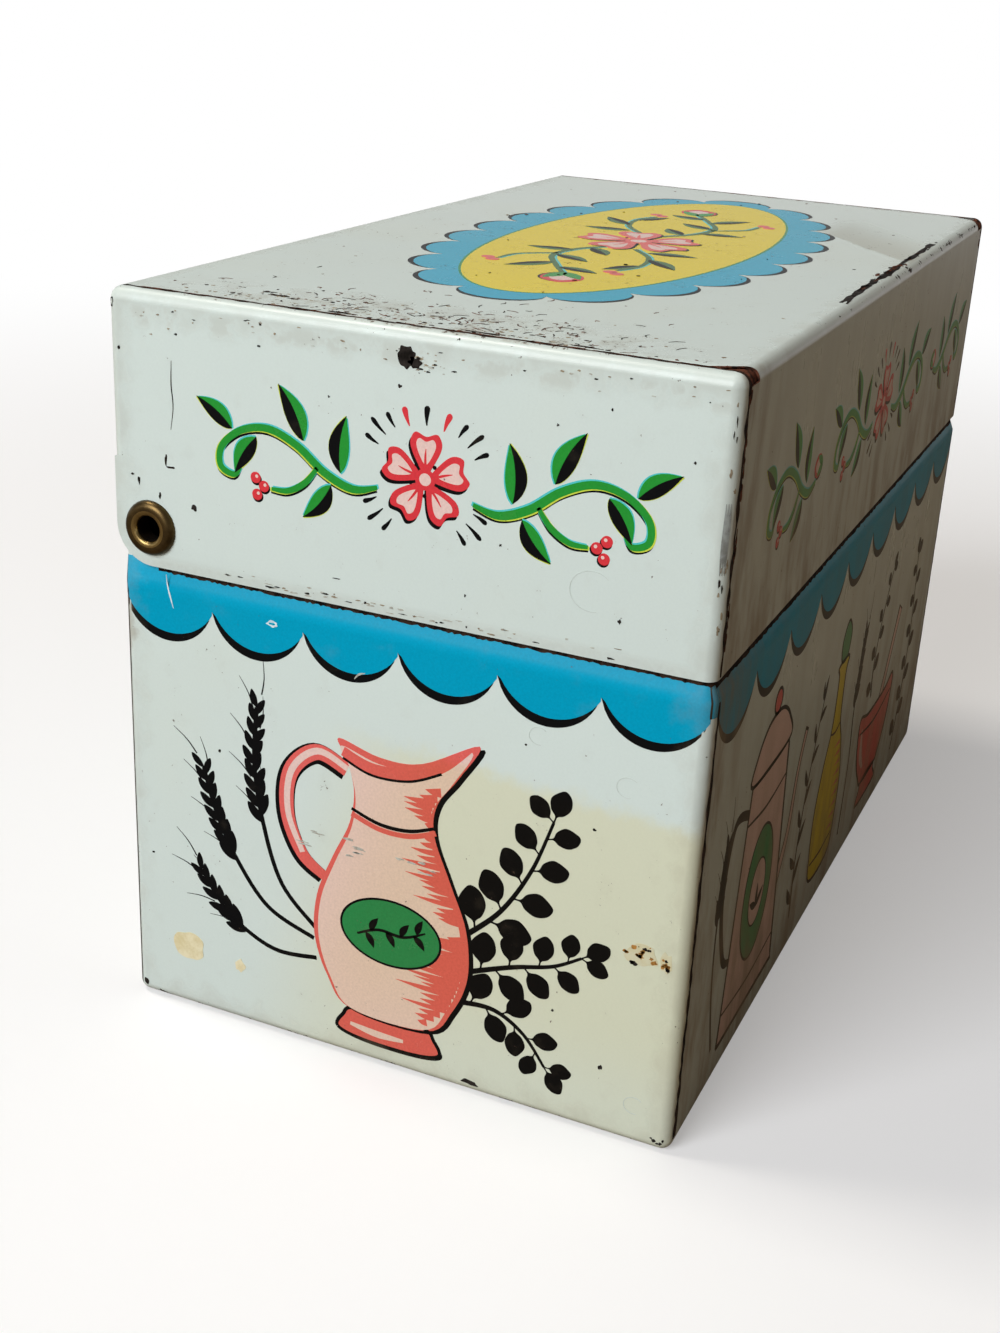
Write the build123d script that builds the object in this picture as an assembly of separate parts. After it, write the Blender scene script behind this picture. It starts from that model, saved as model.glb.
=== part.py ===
"""Recipe card box: a tinplate body and a hinged tinplate lid, held by two hollow eyelets.

Millimetres.  X runs along the length, -Y is the front, +Z is up, and the origin is the
middle of the base, on the surface that the box stands on.

Body and lid are each made the same way: one sheet is wrapped round front, bottom (or top) and
back, and a dished panel closes each end.  The end panel turns the corner at the full radius,
then steps in by one sheet and runs on as a flange under the wrap.  A dark seam shows there.
"""
import os
from functools import cache

from build123d import *

# ---------------------------------------------------------------- overall sizes
BOX_LENGTH = 137.0        # over the flat faces of the two ends
BOX_HEIGHT = 95.0         # closed
SEAM_HEIGHT = 61.7        # lower edge of the closed lid
BODY_DEPTH = 76.2         # over the body's front and back walls
LID_FRONT_SETBACK = 0.2   # lid front sits this far behind the body front
LID_BACK_OVERHANG = 0.8   # lid back stands this far behind the body back

# ---------------------------------------------------------------- sheet and folds
SHEET = 0.28              # tinplate thickness
CORNER_RADIUS = 1.5       # outside radius of every folded edge
SMALLEST_RADIUS = 0.1     # inner layers never turn sharper than this
SEAM_GAP = 0.02           # play between wrap and flange, and where wrap and end panel meet
SEAM_STEP_MARGIN = 0.1    # flat run between the end of the bend and the seam
FLANGE_WIDTH = 4.0        # end panel's flange under the wrap
HEM_HEIGHT = 3.0          # rim folded back inside itself
HEM_GAP = 0.04            # air inside a hem
HEM_END_GAP = 0.5         # hem stops this far short of the next flange or bend

# ---------------------------------------------------------------- shoulder and neck of the body
NECK_INSET = 1.2          # neck stands in from front and end faces; the back wall is straight
SHOULDER_BELOW_SEAM = 2.4
SHOULDER_ABOVE_SEAM = 0.5
NECK_HEIGHT = 10.0        # neck rim above the seam, front and ends
NECK_CORNER_RADIUS = 0.4
BACK_LAP = 4.0            # body back wall rises this far behind the lid's back wall
HIP_FRONT = 12.0          # end rim starts to rise this far in front of the hinge
HIP_BACK = 5.0            # and reaches the height of the back wall this far in front of it

# ---------------------------------------------------------------- lid back and hinge
LID_BACK_LIFT = 13.1      # lid back wall ends this far above the seam
EAR_RADIUS = 4.9          # ear of the lid end, about the hinge
EAR_OVERHANG = 0.4        # ear's back edge stands this far behind the body back
EYELET_BORE = 3.1         # diameter of the open hole
EYELET_BARREL_WALL = 0.5
EYELET_HEAD = 6.9         # outside diameter of the rolled head
EYELET_HEAD_HEIGHT = 0.9
EYELET_LIP = 0.35         # flat width on the crown of the head
CLINCH_DIAMETER = 5.6     # inner end, spread over the neck
CLINCH_THICKNESS = 0.4
HINGE_FIT = 0.05          # radial play of the barrel in the body's neck
FIXED_FIT = 0.02          # radial play of the barrel in the lid's ear
CLINCH_PLAY = 0.05        # between clinched end and neck
NOTCH_ALONG = 3.4         # corner relief in the lid wrap, along the length
NOTCH_DEEP = 4.2          # and along the end seam

# ---------------------------------------------------------------- derived sizes
HALF_LENGTH = BOX_LENGTH / 2
FULL_DEPTH = BODY_DEPTH + LID_BACK_OVERHANG
BODY_FRONT = -FULL_DEPTH / 2
BODY_BACK = BODY_FRONT + BODY_DEPTH
LID_FRONT = BODY_FRONT + LID_FRONT_SETBACK
LID_BACK = BODY_BACK + LID_BACK_OVERHANG

SEAM_SETBACK = max(CORNER_RADIUS, NECK_INSET + NECK_CORNER_RADIUS) + SEAM_STEP_MARGIN
SEAM_X = HALF_LENGTH - SEAM_SETBACK            # end panel meets the wrap here
FLANGE_X = SEAM_X - FLANGE_WIDTH               # inner edge of the flange
HEM_X = FLANGE_X - HEM_END_GAP                 # the wrap's hems stop here
FLANGE_OUT = SHEET + SEAM_GAP                  # depths of the flange below the outer face
FLANGE_IN = FLANGE_OUT + SHEET
HEM_OUT = SHEET + HEM_GAP                      # depths of a hem's inner leaf
HEM_IN = HEM_OUT + SHEET

SHOULDER_START = SEAM_HEIGHT - SHOULDER_BELOW_SEAM
SHOULDER_END = SEAM_HEIGHT + SHOULDER_ABOVE_SEAM
NECK_TOP = SEAM_HEIGHT + NECK_HEIGHT
LID_BACK_EDGE = SEAM_HEIGHT + LID_BACK_LIFT
BACK_TOP = LID_BACK_EDGE + BACK_LAP

EAR_EDGE = BODY_BACK + EAR_OVERHANG
HINGE_Y = EAR_EDGE - EAR_RADIUS
HINGE_Z = SEAM_HEIGHT + EAR_RADIUS
BARREL_RADIUS = EYELET_BORE / 2 + EYELET_BARREL_WALL
NECK_INNER_X = HALF_LENGTH - NECK_INSET - SHEET
REACH = 2 * (BOX_LENGTH + BODY_DEPTH + BOX_HEIGHT)   # cutting blocks are this large


# ---------------------------------------------------------------- helpers
def block(x0, x1, y0, y1, z0, z1):
    """Box between two corners."""
    middle = ((x0 + x1) / 2, (y0 + y1) / 2, (z0 + z1) / 2)
    return Pos(*middle) * Box(x1 - x0, y1 - y0, z1 - z0)


def along_x(x0, x1):
    """Everything between two planes across the length."""
    return block(x0, x1, -REACH, REACH, -REACH, REACH)


def folded_radius(outside, depth):
    """Radius of a folded edge, measured on the layer that lies depth below the outer face."""
    return max(outside - depth, SMALLEST_RADIUS)


def plan(x_half, y0, y1, radius, z):
    """Rounded rectangle at height z."""
    middle = (0, (y0 + y1) / 2, z)
    return Pos(*middle) * RectangleRounded(2 * x_half, y1 - y0, radius)


# ---------------------------------------------------------------- outlines of body and lid
@cache
def body_outline(depth):
    """Solid inside the surface that lies depth below the body's outer face, open upwards."""
    radius = folded_radius(CORNER_RADIUS, depth)
    neck_radius = folded_radius(NECK_CORNER_RADIUS, depth)
    x_half = HALF_LENGTH - depth
    front = BODY_FRONT + depth
    back = BODY_BACK - depth
    tub = block(-x_half, x_half, front, back, depth, SHOULDER_START)
    folded = tub.edges().filter_by(Axis.Z) + tub.edges().group_by(Axis.Z)[0]
    tub = fillet(folded, radius)
    wide = plan(x_half, front, back, radius, SHOULDER_START)
    narrow = plan(x_half - NECK_INSET, front + NECK_INSET, back, neck_radius, SHOULDER_END)
    shoulder = loft([wide, narrow], ruled=True)
    neck = extrude(narrow, BACK_TOP + depth - SHOULDER_END)
    return tub + shoulder + neck


@cache
def lid_outline(depth):
    """Solid inside the surface that lies depth below the lid's outer face, open downwards."""
    radius = folded_radius(CORNER_RADIUS, depth)
    x_half = HALF_LENGTH - depth
    bottom = SEAM_HEIGHT - depth
    shell = block(-x_half, x_half, LID_FRONT + depth, LID_BACK - depth, bottom, BOX_HEIGHT - depth)
    folded = shell.edges().filter_by(Axis.Z) + shell.edges().group_by(Axis.Z)[-1]
    return fillet(folded, radius)


@cache
def above_rim():
    """Space over the body's rim: level in front, rising beside the hinge to the back wall."""
    with BuildPart() as space:
        with BuildSketch(Plane.YZ.offset(-REACH / 2)):
            with BuildLine():
                Polyline(
                    (BODY_FRONT - REACH, NECK_TOP),
                    (HINGE_Y - HIP_FRONT, NECK_TOP),
                    (HINGE_Y - HIP_BACK, BACK_TOP),
                    (BODY_BACK + REACH, BACK_TOP),
                    (BODY_BACK + REACH, BOX_HEIGHT + REACH),
                    (BODY_FRONT - REACH, BOX_HEIGHT + REACH),
                    close=True,
                )
            make_face()
        extrude(amount=REACH)
    return space.part


def layer(outline, outer, inner, x0, x1):
    """Sheet of an outline between two depths and between two places along the length."""
    return (outline(outer) & along_x(x0, x1)) - outline(inner)


def dished_end(outline):
    """End panel at +X as far as the seam, the step inwards and the flange under the wrap."""
    panel = layer(outline, 0, SHEET, SEAM_X, REACH)
    step = layer(outline, 0, FLANGE_IN, SEAM_X, SEAM_X + SHEET)
    flange = layer(outline, FLANGE_OUT, FLANGE_IN, FLANGE_X, SEAM_X + SHEET)
    return panel, step + flange


def hinge_hole(radius, x0, x1):
    """Round hole for the barrel, between two places along the length."""
    middle = ((x0 + x1) / 2, HINGE_Y, HINGE_Z)
    return Pos(*middle) * Rot(0, 90, 0) * Cylinder(radius, x1 - x0)


def wrap_hem(face, inward, edge, fold_away):
    """Inner leaf and fold of a wrap's hem, behind the wall whose outer face is at y = face.

    inward is +1 or -1 along Y; the hem runs from edge by HEM_HEIGHT in the direction fold_away.
    """
    leaf_y = sorted((face + inward * HEM_OUT, face + inward * HEM_IN))
    fold_y = sorted((face + inward * SHEET / 2, face + inward * HEM_IN))
    leaf_z = sorted((edge, edge + fold_away * HEM_HEIGHT))
    fold_z = sorted((edge, edge + fold_away * SHEET))
    return block(-HEM_X, HEM_X, *leaf_y, *leaf_z) + block(-HEM_X, HEM_X, *fold_y, *fold_z)


def end_hem(face, y0, y1, edge, fold_away):
    """Inner leaf and fold of an end panel's hem, behind the panel whose outer face is x = face."""
    leaf_z = sorted((edge, edge + fold_away * HEM_HEIGHT))
    fold_z = sorted((edge, edge + fold_away * SHEET))
    leaf = block(face - HEM_IN, face - HEM_OUT, y0, y1, *leaf_z)
    return leaf + block(face - HEM_IN, face - SHEET / 2, y0, y1, *fold_z)


# ---------------------------------------------------------------- body
def make_body_wrap():
    """Front, bottom and back in one sheet, with hemmed rims."""
    half = SEAM_X - SEAM_GAP
    sheet = layer(body_outline, 0, SHEET, -half, half) - above_rim()
    sheet += wrap_hem(BODY_FRONT + NECK_INSET, 1, NECK_TOP, -1)
    sheet += wrap_hem(BODY_BACK, -1, BACK_TOP, -1)
    return sheet


def make_body_end():
    """Dished end panel at +X with its flange, neck, hemmed rim and hinge hole."""
    panel, flange = dished_end(body_outline)
    inside = block(
        -REACH, REACH, BODY_FRONT + NECK_INSET + FLANGE_IN, BODY_BACK - FLANGE_IN,
        SHOULDER_START, REACH,
    )
    neck_x = HALF_LENGTH - NECK_INSET
    hem_y0 = BODY_FRONT + NECK_INSET + FLANGE_IN + HEM_END_GAP
    end = panel + (flange - inside) - above_rim()
    end += end_hem(neck_x, hem_y0, HINGE_Y - HIP_FRONT, NECK_TOP, -1)
    return end - hinge_hole(BARREL_RADIUS + HINGE_FIT, neck_x - 2 * SHEET, neck_x + SHEET)


# ---------------------------------------------------------------- lid
def corner_relief():
    """Triangular notch in the lid wrap at its front top corner at +X, where it was trimmed to fold."""
    seam = SEAM_X + SEAM_GAP
    far = SEAM_X - NOTCH_ALONG
    with BuildPart() as notch:
        with BuildSketch(Plane.XY.offset(BOX_HEIGHT - CORNER_RADIUS)):
            with BuildLine():
                Polyline(
                    (far, LID_FRONT - CORNER_RADIUS),
                    (seam, LID_FRONT - CORNER_RADIUS),
                    (seam, LID_FRONT + CORNER_RADIUS + NOTCH_DEEP),
                    (far, LID_FRONT + CORNER_RADIUS / 3),
                    close=True,
                )
            make_face()
        extrude(amount=2 * CORNER_RADIUS)
    return notch.part


def make_lid_wrap():
    """Front, top and short back in one sheet, with hemmed lower edges."""
    half = SEAM_X - SEAM_GAP
    below_back = block(-REACH, REACH, HINGE_Y, REACH, -REACH, LID_BACK_EDGE)
    sheet = layer(lid_outline, 0, SHEET, -half, half) - below_back
    sheet += wrap_hem(LID_FRONT, 1, SEAM_HEIGHT, 1)
    sheet += wrap_hem(LID_BACK, -1, LID_BACK_EDGE, 1)
    notch = corner_relief()
    return sheet - notch - mirror(notch, about=Plane.YZ)


def ear_plate():
    """Flat part of the lid's end panel at +X, between the lid's back wall and the seam."""
    front = HINGE_Y - EAR_RADIUS
    with BuildPart() as ear:
        with BuildSketch(Plane.YZ.offset(HALF_LENGTH - SHEET)):
            with BuildLine():
                Line((front, SEAM_HEIGHT), (HINGE_Y, SEAM_HEIGHT))
                RadiusArc((HINGE_Y, SEAM_HEIGHT), (EAR_EDGE, HINGE_Z), -EAR_RADIUS)
                Polyline(
                    (EAR_EDGE, HINGE_Z),
                    (EAR_EDGE, LID_BACK_EDGE),
                    (LID_BACK - CORNER_RADIUS, LID_BACK_EDGE + SHEET),
                    (front, LID_BACK_EDGE + SHEET),
                    (front, SEAM_HEIGHT),
                )
            make_face()
        extrude(amount=SHEET)
    return ear.part


def make_lid_end():
    """Dished end panel at +X with its flange, hemmed edge and the ear round the hinge."""
    panel, flange = dished_end(lid_outline)
    ear_front = HINGE_Y - EAR_RADIUS
    dish = panel + flange - block(-REACH, REACH, ear_front, REACH, -REACH, LID_BACK_EDGE)
    dish -= block(-REACH, REACH, -REACH, REACH, -REACH, SEAM_HEIGHT)
    end = dish + ear_plate()
    hem_y0 = LID_FRONT + FLANGE_IN + HEM_END_GAP
    end += end_hem(HALF_LENGTH, hem_y0, ear_front - HEM_END_GAP, SEAM_HEIGHT, 1)
    return end - hinge_hole(BARREL_RADIUS + FIXED_FIT, HALF_LENGTH - 2 * SHEET, HALF_LENGTH + SHEET)


# ---------------------------------------------------------------- hinge
def make_eyelet():
    """Hollow rivet at +X: rolled head outside the ear, barrel, clinched end inside the neck."""
    bore = EYELET_BORE / 2
    head = EYELET_HEAD / 2
    face = HALF_LENGTH
    crown = face + EYELET_HEAD_HEIGHT
    roll = EYELET_HEAD_HEIGHT
    clinch_out = NECK_INNER_X - CLINCH_PLAY
    clinch_in = clinch_out - CLINCH_THICKNESS
    crown_outer = head - roll
    crown_inner = crown_outer - EYELET_LIP
    with BuildPart() as eyelet:
        with BuildSketch(Plane.XY):
            with BuildLine():
                Polyline((face, BARREL_RADIUS), (face, head))
                RadiusArc((face, head), (crown, crown_outer), -roll)
                Line((crown, crown_outer), (crown, crown_inner))
                Spline(
                    (crown, crown_inner),
                    (face, bore),
                    tangents=((0, -1), (-1, 0)),
                )
                Polyline(
                    (face, bore),
                    (clinch_in + CLINCH_THICKNESS, bore),
                    (clinch_in, bore + EYELET_BARREL_WALL),
                    (clinch_in, CLINCH_DIAMETER / 2 - CLINCH_THICKNESS / 2),
                    (clinch_out - CLINCH_THICKNESS / 2, CLINCH_DIAMETER / 2),
                    (clinch_out, CLINCH_DIAMETER / 2),
                    (clinch_out, BARREL_RADIUS),
                    (face, BARREL_RADIUS),
                )
            make_face()
        revolve(axis=Axis.X)
    return Pos(0, HINGE_Y, HINGE_Z) * eyelet.part


def main():
    """Build each piece once, mirror the ends, and write one file for each node."""
    right = {
        "body_end": make_body_end(),
        "lid_end": make_lid_end(),
        "hinge_eyelet": make_eyelet(),
    }
    pieces = {"body_wrap": make_body_wrap(), "lid_wrap": make_lid_wrap()}
    for name, piece in right.items():
        pieces[name + "_right"] = piece
        pieces[name + "_left"] = mirror(piece, about=Plane.YZ)
    os.makedirs("parts", exist_ok=True)
    for name, piece in pieces.items():
        export_step(piece, f"parts/{name}.step")
    print(f"hinge axis at y {HINGE_Y:.2f}, z {HINGE_Z:.2f}")


main()
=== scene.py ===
"""Recipe card box: a printed tinplate box with a deep hinged lid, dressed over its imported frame.

Every size in this file is in millimetres unless its name says otherwise.  X runs along the
length, -Y is the long front, +Z is up, and the box stands on z = 0.
"""
import logging
import math
import random
from collections.abc import Callable, Iterable, Sequence
from dataclasses import dataclass, field
from enum import Enum
from typing import Any

import bmesh
import bpy
from mathutils import Matrix, Vector
from mathutils.geometry import tessellate_polygon


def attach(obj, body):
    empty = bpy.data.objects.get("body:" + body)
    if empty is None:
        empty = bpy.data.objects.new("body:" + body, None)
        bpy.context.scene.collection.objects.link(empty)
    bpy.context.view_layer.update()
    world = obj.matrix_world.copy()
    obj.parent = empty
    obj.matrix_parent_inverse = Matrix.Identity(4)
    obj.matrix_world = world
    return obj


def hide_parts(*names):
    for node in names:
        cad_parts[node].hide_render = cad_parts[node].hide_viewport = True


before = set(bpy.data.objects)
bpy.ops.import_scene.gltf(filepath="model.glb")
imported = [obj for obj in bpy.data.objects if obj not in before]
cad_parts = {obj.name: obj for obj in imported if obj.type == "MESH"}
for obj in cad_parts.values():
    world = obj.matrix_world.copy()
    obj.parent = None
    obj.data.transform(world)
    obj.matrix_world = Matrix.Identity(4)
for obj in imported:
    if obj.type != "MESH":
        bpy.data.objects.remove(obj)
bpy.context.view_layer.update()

MM = 0.001
LOG = logging.getLogger("card_box")

Point = tuple[float, float]
Surface = Callable[[float, float, float], Vector]


# ---------------------------------------------------------------- sizes of the tin
@dataclass(frozen=True)
class TinSizes:
    """Sizes of the folded tin that the print and the wear have to follow."""

    half_length: float = 68.5       # flat face of an end panel
    body_front: float = -38.5
    body_back: float = 37.7
    lid_front: float = -38.3
    lid_back: float = 38.5
    height: float = 95.0
    seam: float = 61.7              # lower edge of the closed lid
    bend: float = 1.5               # outside radius of the folded edges
    neck_bend: float = 0.4          # radius of the same folds on the neck
    neck_inset: float = 1.2
    shoulder_start: float = 59.3
    shoulder_end: float = 62.2
    wrap_half: float = 66.8         # an end panel meets the wrap here
    lid_back_edge: float = 74.8     # lower edge of the lid's short back wall
    hinge_y: float = 33.2
    hinge_z: float = 66.6


TIN = TinSizes()


# ---------------------------------------------------------------- colour and node helpers
def linear(code: str) -> tuple[float, float, float, float]:
    """Turn an sRGB hex colour into the linear colour that a shader wants.

    Args:
        code: colour as #RRGGBB.

    Returns:
        Linear red, green, blue and an alpha of 1.
    """
    parts = [int(code[i:i + 2], 16) / 255 for i in (1, 3, 5)]
    out = [c / 12.92 if c <= 0.04045 else ((c + 0.055) / 1.055) ** 2.4 for c in parts]
    return (out[0], out[1], out[2], 1.0)


def add(tree: bpy.types.NodeTree, kind: str, ins: Any = (), out: Any = 0, **settings: Any) -> Any:
    """Add one node with its settings and links.

    Args:
        tree: node tree that gets the node.
        kind: Blender's name for the node type.
        ins: sockets to set or link, in order or as {socket: value}; a value that is itself a
            socket is linked, and None is skipped.
        out: output socket to hand back, or None for the node itself.
        **settings: properties of the node.

    Returns:
        The output socket, or the node.
    """
    node = tree.nodes.new(kind)
    for key, value in settings.items():
        setattr(node, key, value)
    pairs = ins.items() if isinstance(ins, dict) else enumerate(ins)
    for key, value in pairs:
        if isinstance(value, bpy.types.NodeSocket):
            tree.links.new(value, node.inputs[key])
        elif value is not None:
            node.inputs[key].default_value = value
    return node if out is None else node.outputs[out]


def blank_material(name: str) -> tuple[bpy.types.Material, bpy.types.NodeTree]:
    """Make a material with an empty node tree and return both."""
    mat = bpy.data.materials.new(name)
    mat.use_nodes = True
    mat.node_tree.nodes.clear()
    return mat, mat.node_tree


def put(name: str, data: bpy.types.ID) -> bpy.types.Object:
    """Wrap a mesh, lamp or camera in an object of the scene and return it."""
    obj = bpy.data.objects.new(name, data)
    bpy.context.scene.collection.objects.link(obj)
    return obj


# ---------------------------------------------------------------- age of the printed tin
class Term:
    """Shader value that takes plain arithmetic, so that masks read as formulas."""

    def __init__(self, tree: bpy.types.NodeTree, socket: Any) -> None:
        """Wrap a socket, or a number, for use in a node tree."""
        self.tree, self.socket = tree, socket

    def step(self, operation: str, *others: Any) -> "Term":
        """Return the result of one arithmetic node on this value and others."""
        values = [v.socket if isinstance(v, Term) else v for v in (self, *others)]
        return Term(self.tree, add(self.tree, "ShaderNodeMath", values, operation=operation))

    def __add__(self, other: Any) -> "Term":
        """Return the sum."""
        return self.step("ADD", other)

    def __mul__(self, other: Any) -> "Term":
        """Return the product."""
        return self.step("MULTIPLY", other)

    def __sub__(self, other: Any) -> "Term":
        """Return the difference."""
        return self.step("SUBTRACT", other)

    def __rsub__(self, other: Any) -> "Term":
        """Return a number less this value."""
        return Term(self.tree, other).step("SUBTRACT", self)

    def __abs__(self) -> "Term":
        """Return the value without its sign."""
        return self.step("ABSOLUTE")

    __radd__, __rmul__ = __add__, __mul__

    def most(self, other: Any) -> "Term":
        """Return the larger of two values."""
        return self.step("MAXIMUM", other)

    def least(self, other: Any) -> "Term":
        """Return the smaller of two values."""
        return self.step("MINIMUM", other)

    def ramp(self, low: float, high: float) -> "Term":
        """Return 0 below low and 1 above high, smooth between; low may be the larger one."""
        return Term(self.tree, add(self.tree, "ShaderNodeMapRange",
                                   (self.socket, low, high, 0.0, 1.0),
                                   interpolation_type="SMOOTHSTEP", clamp=True))


class Ageing:
    """Shader group that ages enamel and ink alike, so a chip runs through both.

    It reads Object coordinates, which are the box's own millimetres.  It gives masks for
    yellowed varnish, dirt with painted shade on the front, specks, chipped edges and a bump height.
    """

    NAME = "tin_ageing"
    OUTPUTS = ("Yellow", "GrimeAndShade", "Speck", "Chip", "Height")

    def __init__(self) -> None:
        """Build the group once for all printed finishes."""
        self.tree = bpy.data.node_groups.new(self.NAME, "ShaderNodeTree")
        for name in self.OUTPUTS:
            self.tree.interface.new_socket(name, in_out="OUTPUT", socket_type="NodeSocketFloat")
        self._fill()

    def _noise(self, place: Any, per_mm: float, detail: float, roughness: float = 0.5) -> Term:
        """Return fractal noise whose coarsest grain is about 1 / per_mm millimetres."""
        return Term(self.tree, add(self.tree, "ShaderNodeTexNoise",
                                   {"Vector": place, "Scale": per_mm, "Detail": detail,
                                    "Roughness": roughness}))

    @staticmethod
    def _spot(u: Term, v: Term, at: Point, half: Point, uneven: Term) -> Term:
        """Return a soft, uneven spot round a place, half its size either way."""
        du, dv = (u - at[0]) * (1 / half[0]), (v - at[1]) * (1 / half[1])
        return (du * du + dv * dv + 3.0 * uneven).ramp(1.0, 0.1)

    def _fill(self) -> None:
        """Lay out the group's nodes."""
        tree = self.tree
        raw = add(tree, "ShaderNodeTexCoord", out="Object")
        place = add(tree, "ShaderNodeVectorMath", {0: raw, "Scale": 1 / MM}, operation="SCALE")
        split = add(tree, "ShaderNodeSeparateXYZ", (place,), out=None)
        x, y, z = (Term(tree, socket) for socket in split.outputs)
        x_in, y_in = TIN.half_length - abs(x), -TIN.body_front - abs(y)
        z_in = z.least(TIN.height - z)
        # distance from the nearest edge of the box: the middle one of the three depths
        edge = x_in.least(y_in).most(x_in.most(y_in).least(z_in))

        clouds = self._noise(place, 0.035, 2.0)
        blots = self._noise(place, 0.28, 4.0, 0.6)
        crumbs = self._noise(place, 1.5, 4.0, 0.65)
        grains = self._noise(place, 3.2, 2.0, 0.6)
        uneven = blots - 0.5

        # the near end yellowed where a label or a wall kept the light off: a level top edge,
        # and a soft edge towards the back
        near_end = x.ramp(-66.9, -67.1)
        below = (z + 5.0 * uneven - 0.06 * y).ramp(47.4, 44.2)
        sideways = (y + 0.3 * z).ramp(25.0, 5.0)
        low = 0.7 + 0.3 * z.ramp(3.0, 17.0)
        aged = 0.12 * clouds.ramp(0.48, 0.72)
        yellow = (below * sideways * near_end * low).most(aged)

        # places on the lid: its top, and the worn ground beside the near seam
        top = z.ramp(TIN.height - 0.3, TIN.height - 0.1)
        beside = x.ramp(-50.0, -66.0) * abs(y).ramp(40.0, 12.0) * top

        # dirt: a film near folds and rims, a haze under the near end's top fold, dirt beside
        # the near seam, and a grey patch on the top that stops at a slanting line; the front's
        # share below adds painted shade
        rim = (edge + 9.0 * uneven).ramp(4.2, 0.2)
        grime_and_shade = (0.30 * rim).most(0.10 * blots.ramp(0.55, 0.80))
        lid_rim = crumbs * abs(z - (TIN.seam + 0.5)).ramp(1.4, 0.2)
        haze = near_end * abs(z - 92.2).ramp(2.2, 0.4) * blots.ramp(0.47, 0.62)
        ground = beside * (blots + 0.5 * crumbs).ramp(0.66, 0.88)
        slant = 0.658 * x - 0.752 * y + 2.0 * blots - 37.4
        patch = slant.ramp(-0.2, 0.3) * slant.ramp(16.0, 1.0) * top * y.ramp(-17.0, -23.0)
        # handling dirt at the back of the near end, and soil on the front: drawn out downwards,
        # heavier at the foot of lid and body and beside the near end.  The front's even film and
        # its darkening towards the bottom of the body are painted shade, mixed with the soil
        corner = near_end * self._spot(y, z, (37.9, 52.6), (2.4, 5.0), uneven)
        drawn_out = add(tree, "ShaderNodeMapping", {"Vector": place, "Scale": (0.2, 0.2, 0.06)})
        low_lid = z.ramp(84.0, 62.0) * z.ramp(61.5, 61.8)
        heaviness_with_shade = low_lid.most(x.ramp(-48.0, -66.5)).most(z.ramp(50.0, 0.0))
        streaks_and_shade = (0.25 + 0.7 * heaviness_with_shade) * self._noise(drawn_out, 1.0, 4.0, 0.6).ramp(0.36, 0.66)
        # painted shade over the whole front, darkest low on the body, with streaky soil
        front = y.ramp(-37.0, -37.9) * x_in.ramp(0.3, 1.1) * (0.35 * heaviness_with_shade + streaks_and_shade + 0.1)
        for mask, amount in ((lid_rim, 0.4), (haze, 0.34), (ground, 0.75), (patch, 0.6),
                             (corner, 0.8), (front, 0.95)):
            grime_and_shade = grime_and_shade.most(mask * amount)

        # specks where the varnish is worn: thick on the lid's top beside the near end
        worn = 0.10 * beside + 0.05 * top + 0.10 * (clouds - 0.5) + 0.07 * corner
        speck = (crumbs + 0.45 * (grains - 0.5) + 0.42 * uneven + worn).ramp(0.745, 0.80)

        # chips: only on folds, more along the top's front edge and the lowest corners
        front_top = y.ramp(-36.2, -37.2) * z.ramp(92.5, 94.0) * x.ramp(-45.0, 15.0)
        ridge = Term(tree, add(tree, "ShaderNodeMapRange",
                               (edge.socket, 0.44, 1.7, 0.60, 0.86), clamp=True))
        chip = 0.55 * blots + 0.45 * crumbs - ridge + 0.10 * front_top + 0.07 * z.ramp(2.2, 0.4)
        # the body's back fold on the near end is rubbed through to dark metal
        across = y + 0.35 * uneven
        rubbed = across.ramp(36.85, 36.95) * across.ramp(37.7, 37.6)
        rubbed = rubbed * x.ramp(-66.9, -67.0) * z.ramp(58.6, 57.6)
        chip = chip.ramp(0.0, 0.015).most(0.9 * rubbed)

        # height in millimetres: slow waves of the sheet, fine orange peel, and chips let in
        waves = self._noise(place, 0.045, 1.0)
        height = 0.10 * waves + 0.0015 * crumbs - 0.02 * chip
        made = (yellow, grime_and_shade, speck, chip, height)
        add(tree, "NodeGroupOutput", [term.socket for term in made], out=None)


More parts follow.
